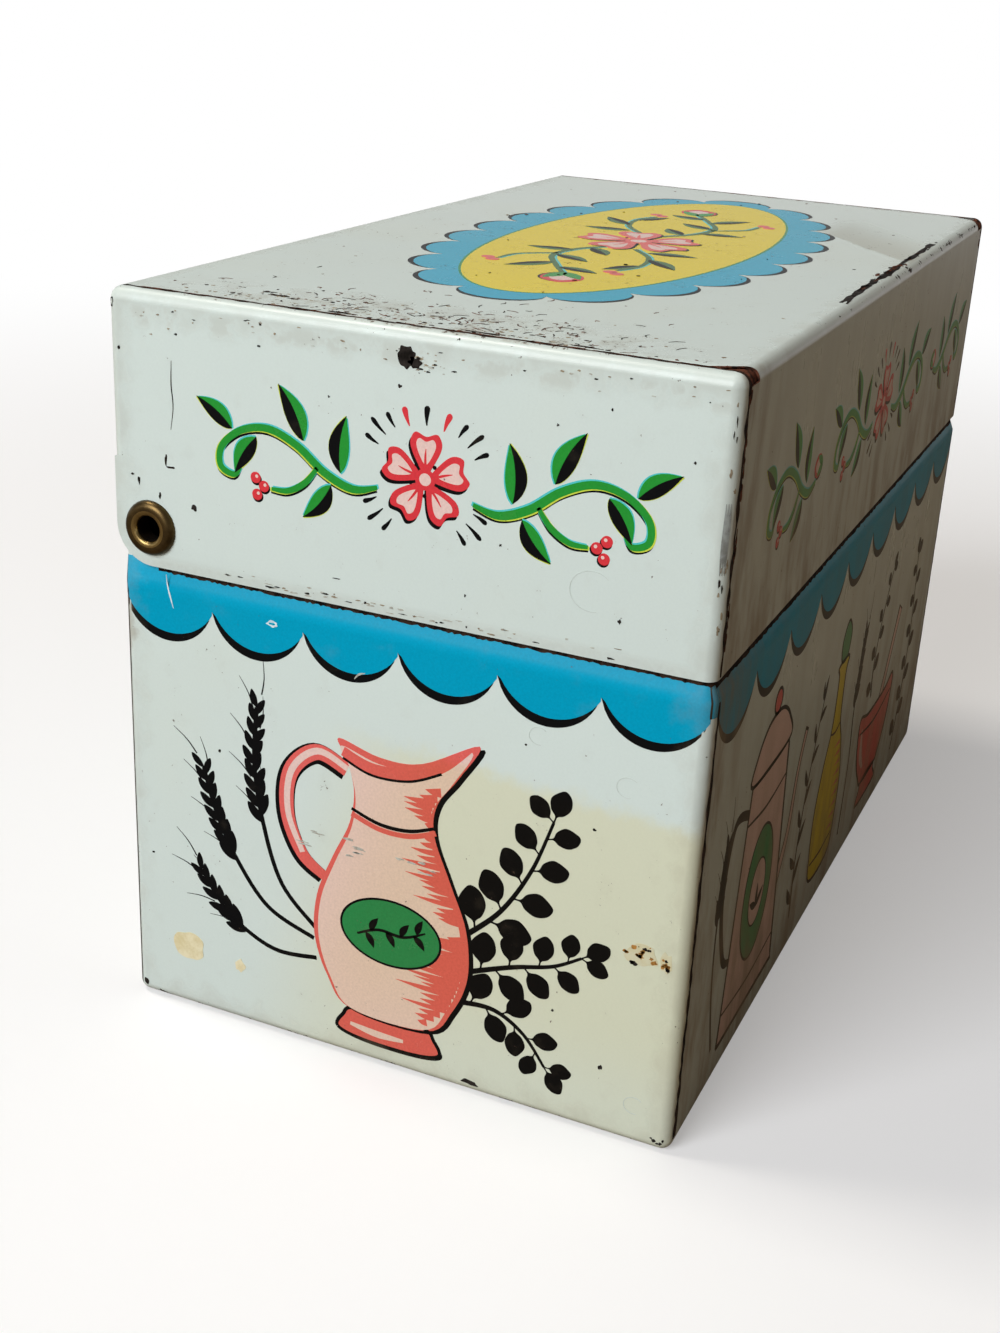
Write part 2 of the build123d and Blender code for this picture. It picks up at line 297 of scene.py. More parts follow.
# ---------------------------------------------------------------- finishes
@dataclass(frozen=True)
class PrintedFinish:
    """Baked litho enamel or ink under varnish on tinplate.

    The eye sees an even, softly glossy colour, a little warmer where the varnish yellowed,
    with dark rusty specks and chipped folds.
    """

    name: str
    colour: str
    yellowed: str          # the same colour under yellowed varnish
    roughness: float = 0.27
    mottle: float = 0.06   # how far the ink film varies in density
    sheen: float = 0.3     # strength of the gloss

    def make(self, ageing: Ageing) -> bpy.types.Material:
        """Build the material.

        Args:
            ageing: shared group of wear masks.

        Returns:
            The finished material.
        """
        mat, tree = blank_material(self.name)
        age = add(tree, "ShaderNodeGroup", out=None, node_tree=ageing.tree)
        raw = add(tree, "ShaderNodeTexCoord", out="Object")
        # litho grain of about 0.3 mm, drawn coarser than the real one so that it shows
        grain = add(tree, "ShaderNodeTexNoise", {"Vector": raw, "Scale": 3300.0, "Detail": 3.0})
        density = add(tree, "ShaderNodeMapRange",
                      (grain, 0.3, 0.7, 1.0 - self.mottle, 1.0 + self.mottle))
        base = add(tree, "ShaderNodeMix",
                   {0: age.outputs["Yellow"], 6: linear(self.colour), 7: linear(self.yellowed)},
                   out=2, data_type="RGBA")
        base = add(tree, "ShaderNodeVectorMath", {0: base, "Scale": density}, operation="SCALE")
        # the dirt-and-shade mask browns and darkens the front: painted shade there as well as dirt
        for mask, tone, amount in (
            ("GrimeAndShade", "#8E7F68", 0.62), ("Speck", "#54453A", 0.85), ("Chip", "#33271F", 1.0),
        ):
            part = add(tree, "ShaderNodeMath", (age.outputs[mask], amount), operation="MULTIPLY",
                       use_clamp=True)
            base = add(tree, "ShaderNodeMix", {0: part, 6: base, 7: linear(tone)}, out=2,
                       data_type="RGBA")
        bare = add(tree, "ShaderNodeMath", (age.outputs["Chip"], age.outputs["Speck"]),
                   operation="MAXIMUM")
        rough = add(tree, "ShaderNodeMapRange", (bare, 0.0, 1.0, self.roughness, 0.5))
        rough = add(tree, "ShaderNodeMath", (age.outputs["GrimeAndShade"], 0.22, rough),
                    operation="MULTIPLY_ADD")
        gloss = add(tree, "ShaderNodeMapRange", (bare, 0.0, 1.0, self.sheen, 0.02))
        bump = add(tree, "ShaderNodeBump", {"Strength": 1.0, "Distance": MM,
                                            "Height": age.outputs["Height"]})
        shader = add(tree, "ShaderNodeBsdfPrincipled",
                     {"Base Color": base, "Roughness": rough, "Normal": bump,
                      "Specular IOR Level": gloss})
        add(tree, "ShaderNodeOutputMaterial", (shader,), out=None)
        return mat


@dataclass(frozen=True)
class BareFinish:
    """Unprinted metal or its decay, with two tones that mix in soft clouds."""

    name: str
    light: str
    dark: str
    metallic: float
    smooth: float          # roughness where the light tone is
    rough: float           # roughness where the dark tone is
    per_mm: float          # clouds to the millimetre
    split: Point = (0.4, 0.65)
    depth: float = 0.01    # height of the relief

    def make(self) -> bpy.types.Material:
        """Build and return the material."""
        mat, tree = blank_material(self.name)
        raw = add(tree, "ShaderNodeTexCoord", out="Object")
        cloud = add(tree, "ShaderNodeTexNoise",
                    {"Vector": raw, "Scale": 1000.0 * self.per_mm, "Detail": 5.0,
                     "Roughness": 0.62})
        mask = add(tree, "ShaderNodeMapRange", (cloud, *self.split, 0.0, 1.0),
                   interpolation_type="SMOOTHSTEP")
        base = add(tree, "ShaderNodeMix", {0: mask, 6: linear(self.light), 7: linear(self.dark)},
                   out=2, data_type="RGBA")
        rough = add(tree, "ShaderNodeMapRange", (mask, 0.0, 1.0, self.smooth, self.rough))
        bump = add(tree, "ShaderNodeBump", {"Strength": 1.0, "Distance": MM * self.depth,
                                            "Height": cloud})
        shader = add(tree, "ShaderNodeBsdfPrincipled",
                     {"Base Color": base, "Roughness": rough, "Normal": bump,
                      "Metallic": self.metallic,
                      "Specular IOR Level": 0.5 if self.metallic else 0.06})
        add(tree, "ShaderNodeOutputMaterial", (shader,), out=None)
        return mat


class Ink(Enum):
    """Every film that is printed, flaked or stained onto the tin."""

    BLUE = PrintedFinish("ink_cyan_blue", "#009ABE", "#1C93A5", 0.30, sheen=0.06)
    PALE_BLUE = PrintedFinish("ink_soft_blue", "#2CA6C6", "#48A5AE", sheen=0.2)
    BLACK = PrintedFinish("ink_black", "#0B0C0E", "#0F0E0D", 0.30, sheen=0.08)
    YELLOW = PrintedFinish("ink_lemon_yellow", "#E2CD2C", "#D0BC2C", sheen=0.2)
    GREEN = PrintedFinish("ink_leaf_green", "#1F9131", "#2B8A2B")
    LABEL_GREEN = PrintedFinish("ink_emerald_green", "#208A4C", "#2A8044")
    TEAL_EDGE = PrintedFinish("ink_cyan_fringe", "#4FC4C6", "#5CB9A6")
    LIME_EDGE = PrintedFinish("ink_yellow_fringe", "#C6D54A", "#C0C748")
    RED = PrintedFinish("ink_carmine_red", "#D5363F", "#C8383A")
    CORAL = PrintedFinish("ink_coral_red", "#DE625D", "#D4604F")
    PINK = PrintedFinish("ink_shell_pink", "#E4C6BE", "#DCC2AA")
    SAGE = PrintedFinish("ink_olive_green", "#3E6B36", "#43672F", sheen=0.2)


ENAMEL = PrintedFinish("enamel_off_white", "#D0DDD8", "#D2D6BE", 0.25, 0.012)
# rolled tinplate, left plain inside: grey, faintly streaked, a dull mirror
TINPLATE = BareFinish("tinplate_plain", "#CBCAC2", "#B3B0A6", 0.75, 0.34, 0.44, 0.09,
                      (0.3, 0.75), 0.004)
# brass gone brown, with a dull gleam
BRASS = BareFinish("brass_aged", "#5C4B2E", "#382C1A", 1.0, 0.32, 0.46, 0.5, (0.25, 0.8), 0.004)
# the same brass where fingers rub it: yellow and bright, a painted highlight as well as rubbing
BRASS_LIP_HIGHLIGHT = BareFinish("brass_rubbed_highlight", "#968052", "#6E5A36", 1.0, 0.26, 0.36, 0.6, (0.25, 0.8),
                       0.004)
# black-brown grease in the eyelet's bore, dark as painted shade in the hollow as well
GREASE_AND_SHADE = BareFinish("grease_and_shade_in_bore", "#1E1710", "#0C0907", 0.0, 0.5, 0.7, 0.8)
# rust where the tin coat is gone: matt, dark, a little red
RUST = BareFinish("rust_on_steel", "#6B4030", "#2E211B", 0.0, 0.75, 0.9, 1.6, depth=0.05)
# old dirt and rust in a seam: nearly black and matt; also used as painted shade
# under the lid's rim and in the wide seam lines
SEAM_DIRT_AND_SHADE = BareFinish("seam_dirt_and_shade", "#3A2B22", "#141110", 0.0, 0.8, 0.95, 1.1)
# steel laid bare by a fresh knock under a broken enamel flake
CHIP = BareFinish("chipped_to_steel", "#2E2926", "#15120F", 0.0, 0.55, 0.8, 0.8, depth=0.06)
# a brown stain that soaked into the varnish
STAIN = BareFinish("stain_brown", "#A0957F", "#786A58", 0.0, 0.5, 0.6, 0.7)
# enamel bruised by rubbing: grey, matt
SCUFF = BareFinish("scuff_grey", "#B7BBB2", "#9C978A", 0.0, 0.6, 0.7, 1.4)
# dried paste where a price ticket sat
PASTE = BareFinish("dried_paste", "#E4DCBA", "#D5C99D", 0.0, 0.6, 0.8, 0.5, depth=0.04)
# rust that bloomed through the enamel: ochre in the middle, a pale tan halo round it
BLOOM = BareFinish("rust_bloom", "#B58546", "#7C5428", 0.0, 0.6, 0.8, 1.2)
HALO = BareFinish("rust_halo", "#CFCCAE", "#CBC39D", 0.0, 0.5, 0.6, 0.6)
# the rim of a dried drop, hardly darker than the enamel
RING = BareFinish("dried_drop", "#C6D0CB", "#BCC6C0", 0.0, 0.4, 0.5, 0.8)
# grey rubbing along a fold
RUB = BareFinish("rubbed_grey", "#9CA29F", "#7E807B", 0.0, 0.5, 0.6, 0.7)
# the white scratch that cuts an ink down to the enamel
WHITE_CUT = BareFinish("scratch_to_enamel", "#E4EDEC", "#C3D6DA", 0.0, 0.5, 0.6, 0.9)


# ---------------------------------------------------------------- flat shapes
@dataclass
class Flat:
    """Flat shape: points on the sheet and the faces between them."""

    points: list[Point]
    faces: list[tuple[int, ...]]

    def moved(self, u: float = 0.0, v: float = 0.0, turn: float = 0.0, scale: float = 1.0,
              flip: bool = False) -> "Flat":
        """Return a copy, flipped left to right, scaled, turned in degrees and then shifted."""
        c, s = math.cos(math.radians(turn)), math.sin(math.radians(turn))
        out = []
        for a, b in self.points:
            a, b = (-a if flip else a) * scale, b * scale
            out.append((u + a * c - b * s, v + a * s + b * c))
        return Flat(out, list(self.faces))


def smooth(points: Sequence[tuple[float, ...]], steps: int = 8,
           closed: bool = False) -> list[tuple[float, ...]]:
    """Draw a Catmull-Rom curve through points of any number of coordinates.

    Args:
        points: points that the curve passes through.
        steps: samples between two points.
        closed: whether the curve returns to its first point.

    Returns:
        The sampled curve.
    """
    n = len(points)
    out: list[tuple[float, ...]] = []
    for i in range(n if closed else n - 1):
        if closed:
            a, b, c, d = (points[(i + k) % n] for k in (-1, 0, 1, 2))
        else:
            a, b, c, d = (points[min(max(i + k, 0), n - 1)] for k in (-1, 0, 1, 2))
        for j in range(steps):
            t = j / steps
            out.append(tuple(
                0.5 * (2 * q + (r - p) * t + (2 * p - 5 * q + 4 * r - s) * t * t
                       + (3 * q - p - 3 * r + s) * t * t * t)
                for p, q, r, s in zip(a, b, c, d)
            ))
    if not closed:
        out.append(tuple(points[-1]))
    return out


def stroke(points: Sequence[tuple[float, float, float]], steps: int = 8) -> Flat:
    """Draw a brush stroke.

    Args:
        points: (u, v, width) along the stroke.
        steps: samples between two points.

    Returns:
        The stroke as a strip of faces.
    """
    line = smooth(points, steps)
    left, right = [], []
    for i, (u, v, w) in enumerate(line):
        a, b = line[max(i - 1, 0)], line[min(i + 1, len(line) - 1)]
        du, dv = b[0] - a[0], b[1] - a[1]
        size = math.hypot(du, dv) or 1.0
        half = max(w, 0.03) / 2
        left.append((u - dv / size * half, v + du / size * half))
        right.append((u + dv / size * half, v - du / size * half))
    n = len(line)
    faces = [(i, n + i, n + i + 1, i + 1) for i in range(n - 1)]
    return Flat(left + right, faces)


def outline(points: Sequence[Point], steps: int = 6, rounded: bool = True) -> Flat:
    """Fill a closed outline, drawn as a smooth curve or with straight sides."""
    ring = [tuple(p) for p in (smooth(points, steps, True) if rounded else points)]
    faces = tessellate_polygon([[Vector((u, v, 0.0)) for u, v in ring]])
    return Flat(ring, [tuple(f) for f in faces])


def grid_faces(columns: int, rows: int) -> list[tuple[int, ...]]:
    """Join points that were listed column by column into four-sided faces."""
    return [(a, a + 1, a + rows + 1, a + rows)
            for i in range(columns - 1) for a in range(i * rows, (i + 1) * rows - 1)]


def disc(u: float, v: float, radius: float, tall: float = 1.0, sides: int = 20) -> Flat:
    """Fill a circle, or an oval that is tall times as high as it is wide."""
    turn = [2 * math.pi * i / sides for i in range(sides)]
    return outline([(u + radius * math.cos(a), v + radius * tall * math.sin(a)) for a in turn],
                   rounded=False)


def leaf(length: float, width: float, lean: float = 0.0, side: int = 0, steps: int = 14) -> Flat:
    """Draw a pointed leaf from the origin along +U.

    Args:
        length: from stalk to tip.
        width: at the widest place.
        lean: how far the middle bows sideways.
        side: 0 for the whole leaf, or +1 or -1 for one half of it.
        steps: samples along the leaf.

    Returns:
        The leaf as a strip of faces.
    """
    upper, lower = [], []
    for i in range(steps + 1):
        t = i / steps
        half = max(width / 2 * math.sin(math.pi * t ** 0.82) ** 0.9 if 0 < t < 1 else 0.0, 0.02)
        mid = lean * 4 * t * (1 - t)
        upper.append((length * t, mid + (half if side >= 0 else 0.02)))
        lower.append((length * t, mid - (half if side <= 0 else 0.02)))
    n = steps + 1
    return Flat(upper + lower, [(i, n + i, n + i + 1, i + 1) for i in range(steps)])


def splash(u: float, v: float, wide: float, high: float, seed: int, ragged: float = 0.35,
           sides: int = 13) -> Flat:
    """Draw an irregular flake, chip or stain; the same seed gives the same edge."""
    dice = random.Random(seed)
    ring = []
    for i in range(sides):
        a = 2 * math.pi * i / sides
        r = 1 + dice.uniform(-ragged, ragged)
        ring.append((u + wide / 2 * r * math.cos(a), v + high / 2 * r * math.sin(a)))
    return outline(ring, 4)


@dataclass
class Artwork:
    """Flat shapes in the order in which they are printed."""

    films: list[tuple[Any, float, Flat]] = field(default_factory=list)

    def lay(self, ink: Any, shape: Flat, layer: float = 0.0) -> None:
        """Print one shape in one ink; a higher layer lies over a lower one."""
        self.films.append((ink, layer, shape))

    def place(self, other: "Artwork", **move: Any) -> None:
        """Print a moved copy of other artwork; the arguments are those of Flat.moved."""
        for ink, layer, shape in other.films:
            self.films.append((ink, layer, shape.moved(**move)))


# ---------------------------------------------------------------- repeats by Geometry Nodes
class Repeater:
    """Geometry Nodes trees that repeat a flat shape along a run or up a stem."""

    def __init__(self) -> None:
        """Build the trees once."""
        self.row = self._row_tree()
        self.stem = self._stem_tree()

    @staticmethod
    def _start(name: str, inputs: Iterable[tuple[str, str]]) -> tuple[Any, Any]:
        """Make an empty geometry tree with named inputs; return it and its input node."""
        tree = bpy.data.node_groups.new(name, "GeometryNodeTree")
        tree.interface.new_socket("Geometry", in_out="OUTPUT", socket_type="NodeSocketGeometry")
        tree.interface.new_socket("Geometry", in_out="INPUT", socket_type="NodeSocketGeometry")
        for label, kind in inputs:
            tree.interface.new_socket(label, in_out="INPUT", socket_type=kind)
        return tree, add(tree, "NodeGroupInput", out=None)

    @staticmethod
    def _end(tree: Any, instances: Any, material: Any) -> None:
        """Close a tree with Realize Instances and Set Material."""
        real = add(tree, "GeometryNodeRealizeInstances", (instances,))
        done = add(tree, "GeometryNodeSetMaterial", {"Geometry": real, "Material": material})
        add(tree, "NodeGroupOutput", (done,), out=None)

    def _row_tree(self) -> Any:
        """Tree that repeats its geometry along +X."""
        tree, given = self._start("repeat_in_a_row", (
            ("Count", "NodeSocketInt"), ("Pitch", "NodeSocketFloat"),
            ("Material", "NodeSocketMaterial"),
        ))
        step = add(tree, "ShaderNodeCombineXYZ", {0: given.outputs["Pitch"]})
        line = add(tree, "GeometryNodeMeshLine",
                   {"Count": given.outputs["Count"], "Offset": step}, mode="OFFSET")
        copies = add(tree, "GeometryNodeInstanceOnPoints",
                     {"Points": line, "Instance": given.outputs["Geometry"]})
        self._end(tree, copies, given.outputs["Material"])
        return tree

    def _stem_tree(self) -> Any:
        """Tree that sets a shape along a stem, left and right in turn, smaller to the tip.

        The modifier's own geometry is the stem, a polyline.
        """
        tree, given = self._start("repeat_up_a_stem", (
            ("Shape", "NodeSocketObject"), ("Count", "NodeSocketInt"),
            ("Spread", "NodeSocketFloat"), ("First size", "NodeSocketFloat"),
            ("Last size", "NodeSocketFloat"), ("Jitter", "NodeSocketFloat"),
            ("Seed", "NodeSocketInt"), ("Material", "NodeSocketMaterial"),
        ))
        curve = add(tree, "GeometryNodeMeshToCurve", {"Mesh": given.outputs["Geometry"]})
        even = add(tree, "GeometryNodeResampleCurve",
                   {"Curve": curve, "Count": given.outputs["Count"]})
        spots = add(tree, "GeometryNodeCurveToPoints", {"Curve": even}, out=None,
                    mode="EVALUATED")
        index = add(tree, "GeometryNodeInputIndex")
        parity = add(tree, "ShaderNodeMath", (index, 2.0), operation="MODULO")
        sign = add(tree, "ShaderNodeMath", (parity, -2.0, 1.0), operation="MULTIPLY_ADD")
        low = add(tree, "ShaderNodeMath", (given.outputs["Jitter"], -1.0), operation="MULTIPLY")
        shake = add(tree, "FunctionNodeRandomValue",
                    {2: low, 3: given.outputs["Jitter"], "Seed": given.outputs["Seed"]}, out=1,
                    data_type="FLOAT")
        angle = add(tree, "ShaderNodeMath", (sign, given.outputs["Spread"], shake),
                    operation="MULTIPLY_ADD")
        along = add(tree, "FunctionNodeAlignRotationToVector",
                    {"Vector": spots.outputs["Tangent"]}, axis="X", pivot_axis="Z")
        lean = add(tree, "ShaderNodeCombineXYZ", {2: angle})
        lean = add(tree, "FunctionNodeEulerToRotation", (lean,))
        turn = add(tree, "FunctionNodeRotateRotation", (along, lean), rotation_space="LOCAL")
        last = add(tree, "ShaderNodeMath", (given.outputs["Count"], -1.0), operation="ADD")
        share = add(tree, "ShaderNodeMath", (index, last), operation="DIVIDE", use_clamp=True)
        size = add(tree, "ShaderNodeMapRange",
                   (share, 0.0, 1.0, given.outputs["First size"], given.outputs["Last size"]))
        shape = add(tree, "GeometryNodeObjectInfo", (given.outputs["Shape"],), out="Geometry")
        copies = add(tree, "GeometryNodeInstanceOnPoints",
                     {"Points": spots.outputs["Points"], "Instance": shape, "Rotation": turn,
                      "Scale": size})
        self._end(tree, copies, given.outputs["Material"])
        return tree

    @staticmethod
    def _mesh(shape: Flat, edges: bool = False) -> bpy.types.Object:
        """Make a scratch object of a flat shape, or of a polyline."""
        mesh = bpy.data.meshes.new("scratch")
        points = [(u, v, 0.0) for u, v in shape.points]
        links = [(i, i + 1) for i in range(len(points) - 1)] if edges else []
        mesh.from_pydata(points, links, [] if edges else shape.faces)
        return put("scratch", mesh)

    @staticmethod
    def _harvest(obj: bpy.types.Object, tree: Any, values: dict[str, Any]) -> Flat:
        """Run a tree on an object and return what it grows as a flat shape."""
        mod = obj.modifiers.new("repeat", "NODES")
        mod.node_group = tree
        for item in tree.interface.items_tree:
            if item.in_out == "INPUT" and item.name in values:
                mod[item.identifier] = values[item.name]
        graph = bpy.context.evaluated_depsgraph_get()
        grown = bpy.data.meshes.new_from_object(obj.evaluated_get(graph))
        flat = Flat([(v.co.x, v.co.y) for v in grown.vertices],
                    [tuple(p.vertices) for p in grown.polygons])
        bpy.data.meshes.remove(grown)
        obj.modifiers.remove(mod)
        return flat

    @staticmethod
    def _clear(*objects: bpy.types.Object) -> None:
        """Remove scratch objects and their meshes."""
        for obj in objects:
            mesh = obj.data
            bpy.data.objects.remove(obj)
            bpy.data.meshes.remove(mesh)

    def in_a_row(self, shape: Flat, count: int, pitch: float) -> Flat:
        """Repeat a shape count times along +U."""
        obj = self._mesh(shape)
        grown = self._harvest(obj, self.row, {"Count": count, "Pitch": pitch})
        self._clear(obj)
        return grown

    def up_a_stem(self, shape: Flat, stem: Sequence[Point], count: int, spread: float,
                  sizes: Point = (1.0, 1.0), jitter: float = 0.0, seed: int = 1) -> Flat:
        """Set a shape along a stem, left and right in turn.

        Args:
            shape: leaf or grain that points along +U.
            stem: points of the stem.
            count: number of copies.
            spread: angle between stem and copy, in degrees.
            sizes: scale at the foot and at the tip.
            jitter: random turn, in degrees either way.
            seed: seed of that turn.

        Returns:
            All copies as one flat shape.
        """
        obj, line = self._mesh(shape), self._mesh(Flat(list(stem), []), edges=True)
        grown = self._harvest(line, self.stem, {
            "Shape": obj, "Count": count, "Spread": math.radians(spread),
            "First size": sizes[0], "Last size": sizes[1],
            "Jitter": math.radians(jitter), "Seed": seed,
        })
        self._clear(obj, line)
        return grown


REPEAT = Repeater()


# ---------------------------------------------------------------- where things are printed
@dataclass(frozen=True)
class Panel:
    """One face of the box as a sheet to print on, seen from outside.

    Past its flat part the sheet goes on round the folds, measured along the metal.
    """

    origin: tuple[float, float, float]
    right: tuple[float, float, float]
    up: tuple[float, float, float]
    flat_u: Point = (-math.inf, math.inf)     # where the folds begin, left and right
    flat_v: Point = (-math.inf, math.inf)     # below and above

    def at(self, u: float, v: float, lift: float) -> Vector:
        """Return the place, in metres, that lies lift above the sheet's point (u, v)."""
        right, up = Vector(self.right), Vector(self.up)
        out = right.cross(up)
        u_flat = min(max(u, self.flat_u[0]), self.flat_u[1])
        v_flat = min(max(v, self.flat_v[0]), self.flat_v[1])
        a, b = (u - u_flat) / TIN.bend, (v - v_flat) / TIN.bend
        way = right * math.sin(a) * math.cos(b) + up * math.sin(b) + out * math.cos(a) * math.cos(b)
        axis = Vector(self.origin) + right * u_flat + up * v_flat - out * TIN.bend
        return (axis + way * (TIN.bend + lift)) * MM


BODY_U = (-(TIN.body_back - TIN.bend), -(TIN.body_front + TIN.bend))
LID_U = (-(TIN.lid_back - TIN.bend), -(TIN.lid_front + TIN.bend))
LID_V = (-math.inf, TIN.height - TIN.bend)
BODY_V = (TIN.bend, math.inf)


class Face(Enum):
    """The faces of body and lid."""

    BODY_NEAR = Panel((-TIN.half_length, 0, 0), (0, -1, 0), (0, 0, 1), BODY_U, BODY_V)
    BODY_FAR = Panel((TIN.half_length, 0, 0), (0, 1, 0), (0, 0, 1), (-BODY_U[1], -BODY_U[0]),
                     BODY_V)
    LID_NEAR = Panel((-TIN.half_length, 0, 0), (0, -1, 0), (0, 0, 1), LID_U, LID_V)
    LID_FAR = Panel((TIN.half_length, 0, 0), (0, 1, 0), (0, 0, 1), (-LID_U[1], -LID_U[0]), LID_V)
    BODY_FRONT = Panel((0, TIN.body_front, 0), (1, 0, 0), (0, 0, 1), flat_v=BODY_V)
    BODY_BACK = Panel((0, TIN.body_back, 0), (-1, 0, 0), (0, 0, 1), flat_v=BODY_V)
    LID_FRONT = Panel((0, TIN.lid_front, 0), (1, 0, 0), (0, 0, 1), flat_v=LID_V)
    TOP = Panel((0, 0, TIN.height), (1, 0, 0), (0, 1, 0), flat_v=(-LID_U[1], -LID_U[0]))


class BodyEndSkin:
    """Outer face of a body end panel from seam to seam, folds and shoulder included.

    u runs along the sheet to the viewer's right, 0 in the middle of the flat face; v is z.
    """

    def __init__(self, side: int) -> None:
        """Remember which end: -1 near, +1 far."""
        self.side = side
        self.mid = (TIN.body_front + TIN.body_back) / 2
        self.flat = (TIN.body_back - TIN.body_front) / 2 - TIN.bend
        self.arc = math.pi / 2 * TIN.bend

    def at(self, u: float, v: float, lift: float) -> Vector:
        """Return the place, in metres, that lies lift above the sheet's point (u, v)."""
        t = min(max((v - TIN.shoulder_start) / (TIN.shoulder_end - TIN.shoulder_start), 0), 1)
        # +y to the right on the far end, -y on the near end
        y_way = 1 if self.side > 0 else -1
        toward_front = u * y_way < 0
        past = abs(u) - self.flat
        inset = TIN.neck_inset * t
        radius = TIN.bend + (TIN.neck_bend - TIN.bend) * t
        y_edge = TIN.body_front + inset if toward_front else TIN.body_back
        sign = -1 if toward_front else 1
        x_face = TIN.half_length - inset
        slope = TIN.neck_inset / (TIN.shoulder_end - TIN.shoulder_start) if 0 < t < 1 else 0.0
        if past <= 0:
            flat_now = (abs(y_edge - self.mid) - radius) / self.flat
            x, y = x_face, self.mid + u * y_way * flat_now
            out = Vector((1.0, 0.0, slope))
        else:
            a = min(past / TIN.bend, math.pi / 2)
            beyond = max(past - self.arc, 0.0)
            x = x_face - radius * (1 - math.cos(a)) - beyond
            y = y_edge - sign * radius * (1 - math.sin(a))
            out = Vector((math.cos(a), sign * math.sin(a), slope))
        out.normalize()
        place = Vector((x, y, v)) + out * lift
        place.x *= self.side
        return place * MM


class WrapFrontSkin:
    """Outer face of the body's front or back wall, shoulder included."""

    def __init__(self, front: bool) -> None:
        """Remember which wall it is."""
        self.front = front

    def at(self, u: float, v: float, lift: float) -> Vector:
        """Return the place, in metres, that lies lift above the sheet's point (u, v)."""
        if not self.front:
            return Vector((-u, TIN.body_back + lift, v)) * MM
        t = min(max((v - TIN.shoulder_start) / (TIN.shoulder_end - TIN.shoulder_start), 0), 1)
        slope = TIN.neck_inset / (TIN.shoulder_end - TIN.shoulder_start) if 0 < t < 1 else 0.0
        out = Vector((0.0, -1.0, slope)).normalized()
        return (Vector((u, TIN.body_front + TIN.neck_inset * t, v)) + out * lift) * MM


@dataclass(frozen=True)
class FilmStack:
    """How thin films stand on the tin: each is a closed plate, let into the enamel."""

    first: float = 0.012    # top of the lowest film above the enamel
    step: float = 0.004     # each layer stands this much higher
    sunk: float = 0.010     # foot of every film below the enamel's face


STACK = FilmStack()


class Finishes:
    """Makes each material once and hands it out by its finish."""

    def __init__(self) -> None:
        """Start with the shared ageing and no materials."""
        self.ageing = Ageing()
        self.made: dict[str, bpy.types.Material] = {}

    def get(self, finish: Any) -> bpy.types.Material:
        """Return the material of an Ink, a PrintedFinish or a BareFinish."""
        spec = finish.value if isinstance(finish, Ink) else finish
        if spec.name not in self.made:
            made = spec.make(self.ageing) if isinstance(spec, PrintedFinish) else spec.make()
            self.made[spec.name] = made
        return self.made[spec.name]


FINISHES = Finishes()


def seat(obj: bpy.types.Object, body: str, slot: str, *nodes: str) -> bpy.types.Object:
    """Let a finished piece ride on its body and report it.

    Args:
        obj: finished piece, at the origin.
        body: CAD body that carries it.
        slot: the record's material slot; not used.
        *nodes: CAD nodes that it stands for.

    Returns:
        The same piece.
    """
    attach(obj, body)
    if nodes:
        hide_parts(*nodes)
    LOG.info("%s rides on %s, %d faces", obj.name, body, len(obj.data.polygons))
    return obj


@dataclass
class PrintedPiece:
    """A run of films on one surface, made into one piece."""

    name: str
    body: str
    surface: Surface
    art: Artwork
    weld: float = 0.004    # points nearer than this are one

    def build(self) -> bpy.types.Object:
        """Raise every flat shape into a closed thin plate that follows the surface."""
        mesh = bpy.data.meshes.new(self.name)
        bm = bmesh.new()
        slots: list[str] = []
        for ink, layer, shape in self.art.films:
            mat = FINISHES.get(ink)
            if mat.name not in slots:
                slots.append(mat.name)
                mesh.materials.append(mat)
            self._raise(bm, shape, layer, slots.index(mat.name))
        bmesh.ops.recalc_face_normals(bm, faces=bm.faces)
        bm.to_mesh(mesh)
        bm.free()
        mesh.shade_smooth()
        mesh.set_sharp_from_angle(angle=math.radians(40))
        return seat(put(self.name, mesh), self.body, "printed_enamel")

    def _raise(self, bm: bmesh.types.BMesh, shape: Flat, layer: float, slot: int) -> None:
        """Add one flat shape as a closed plate."""
        keys: dict[tuple[int, int], int] = {}
        remap, points = [], []
        for u, v in shape.points:
            key = (round(u / self.weld), round(v / self.weld))
            if key not in keys:
                keys[key] = len(points)
                points.append((u, v))
            remap.append(keys[key])
        height = STACK.first + layer * STACK.step
        top = [bm.verts.new(self.surface(u, v, height)) for u, v in points]
        foot = [bm.verts.new(self.surface(u, v, -STACK.sunk)) for u, v in points]
        rim: dict[tuple[int, int], tuple[int, int]] = {}
        for face in shape.faces:
            welded = [remap[j] for j in face]
            ids = [i for k, i in enumerate(welded) if i != welded[k - 1]]
            if len(set(ids)) < 3:
                continue
            area = sum(points[a][0] * points[b][1] - points[b][0] * points[a][1]
                       for a, b in zip(ids, ids[1:] + ids[:1]))
            if area < 0:
                ids.reverse()
            try:
                bm.faces.new([top[i] for i in ids]).material_index = slot
                bm.faces.new([foot[i] for i in reversed(ids)]).material_index = slot
            except ValueError:
                continue
            for a, b in zip(ids, ids[1:] + ids[:1]):
                if (b, a) in rim:
                    del rim[(b, a)]
                else:
                    rim[(a, b)] = (a, b)
        for a, b in rim.values():
            try:
                bm.faces.new([foot[a], foot[b], top[b], top[a]]).material_index = slot
            except ValueError:
                continue
        for vert in top + foot:
            if not vert.link_faces:
                bm.verts.remove(vert)


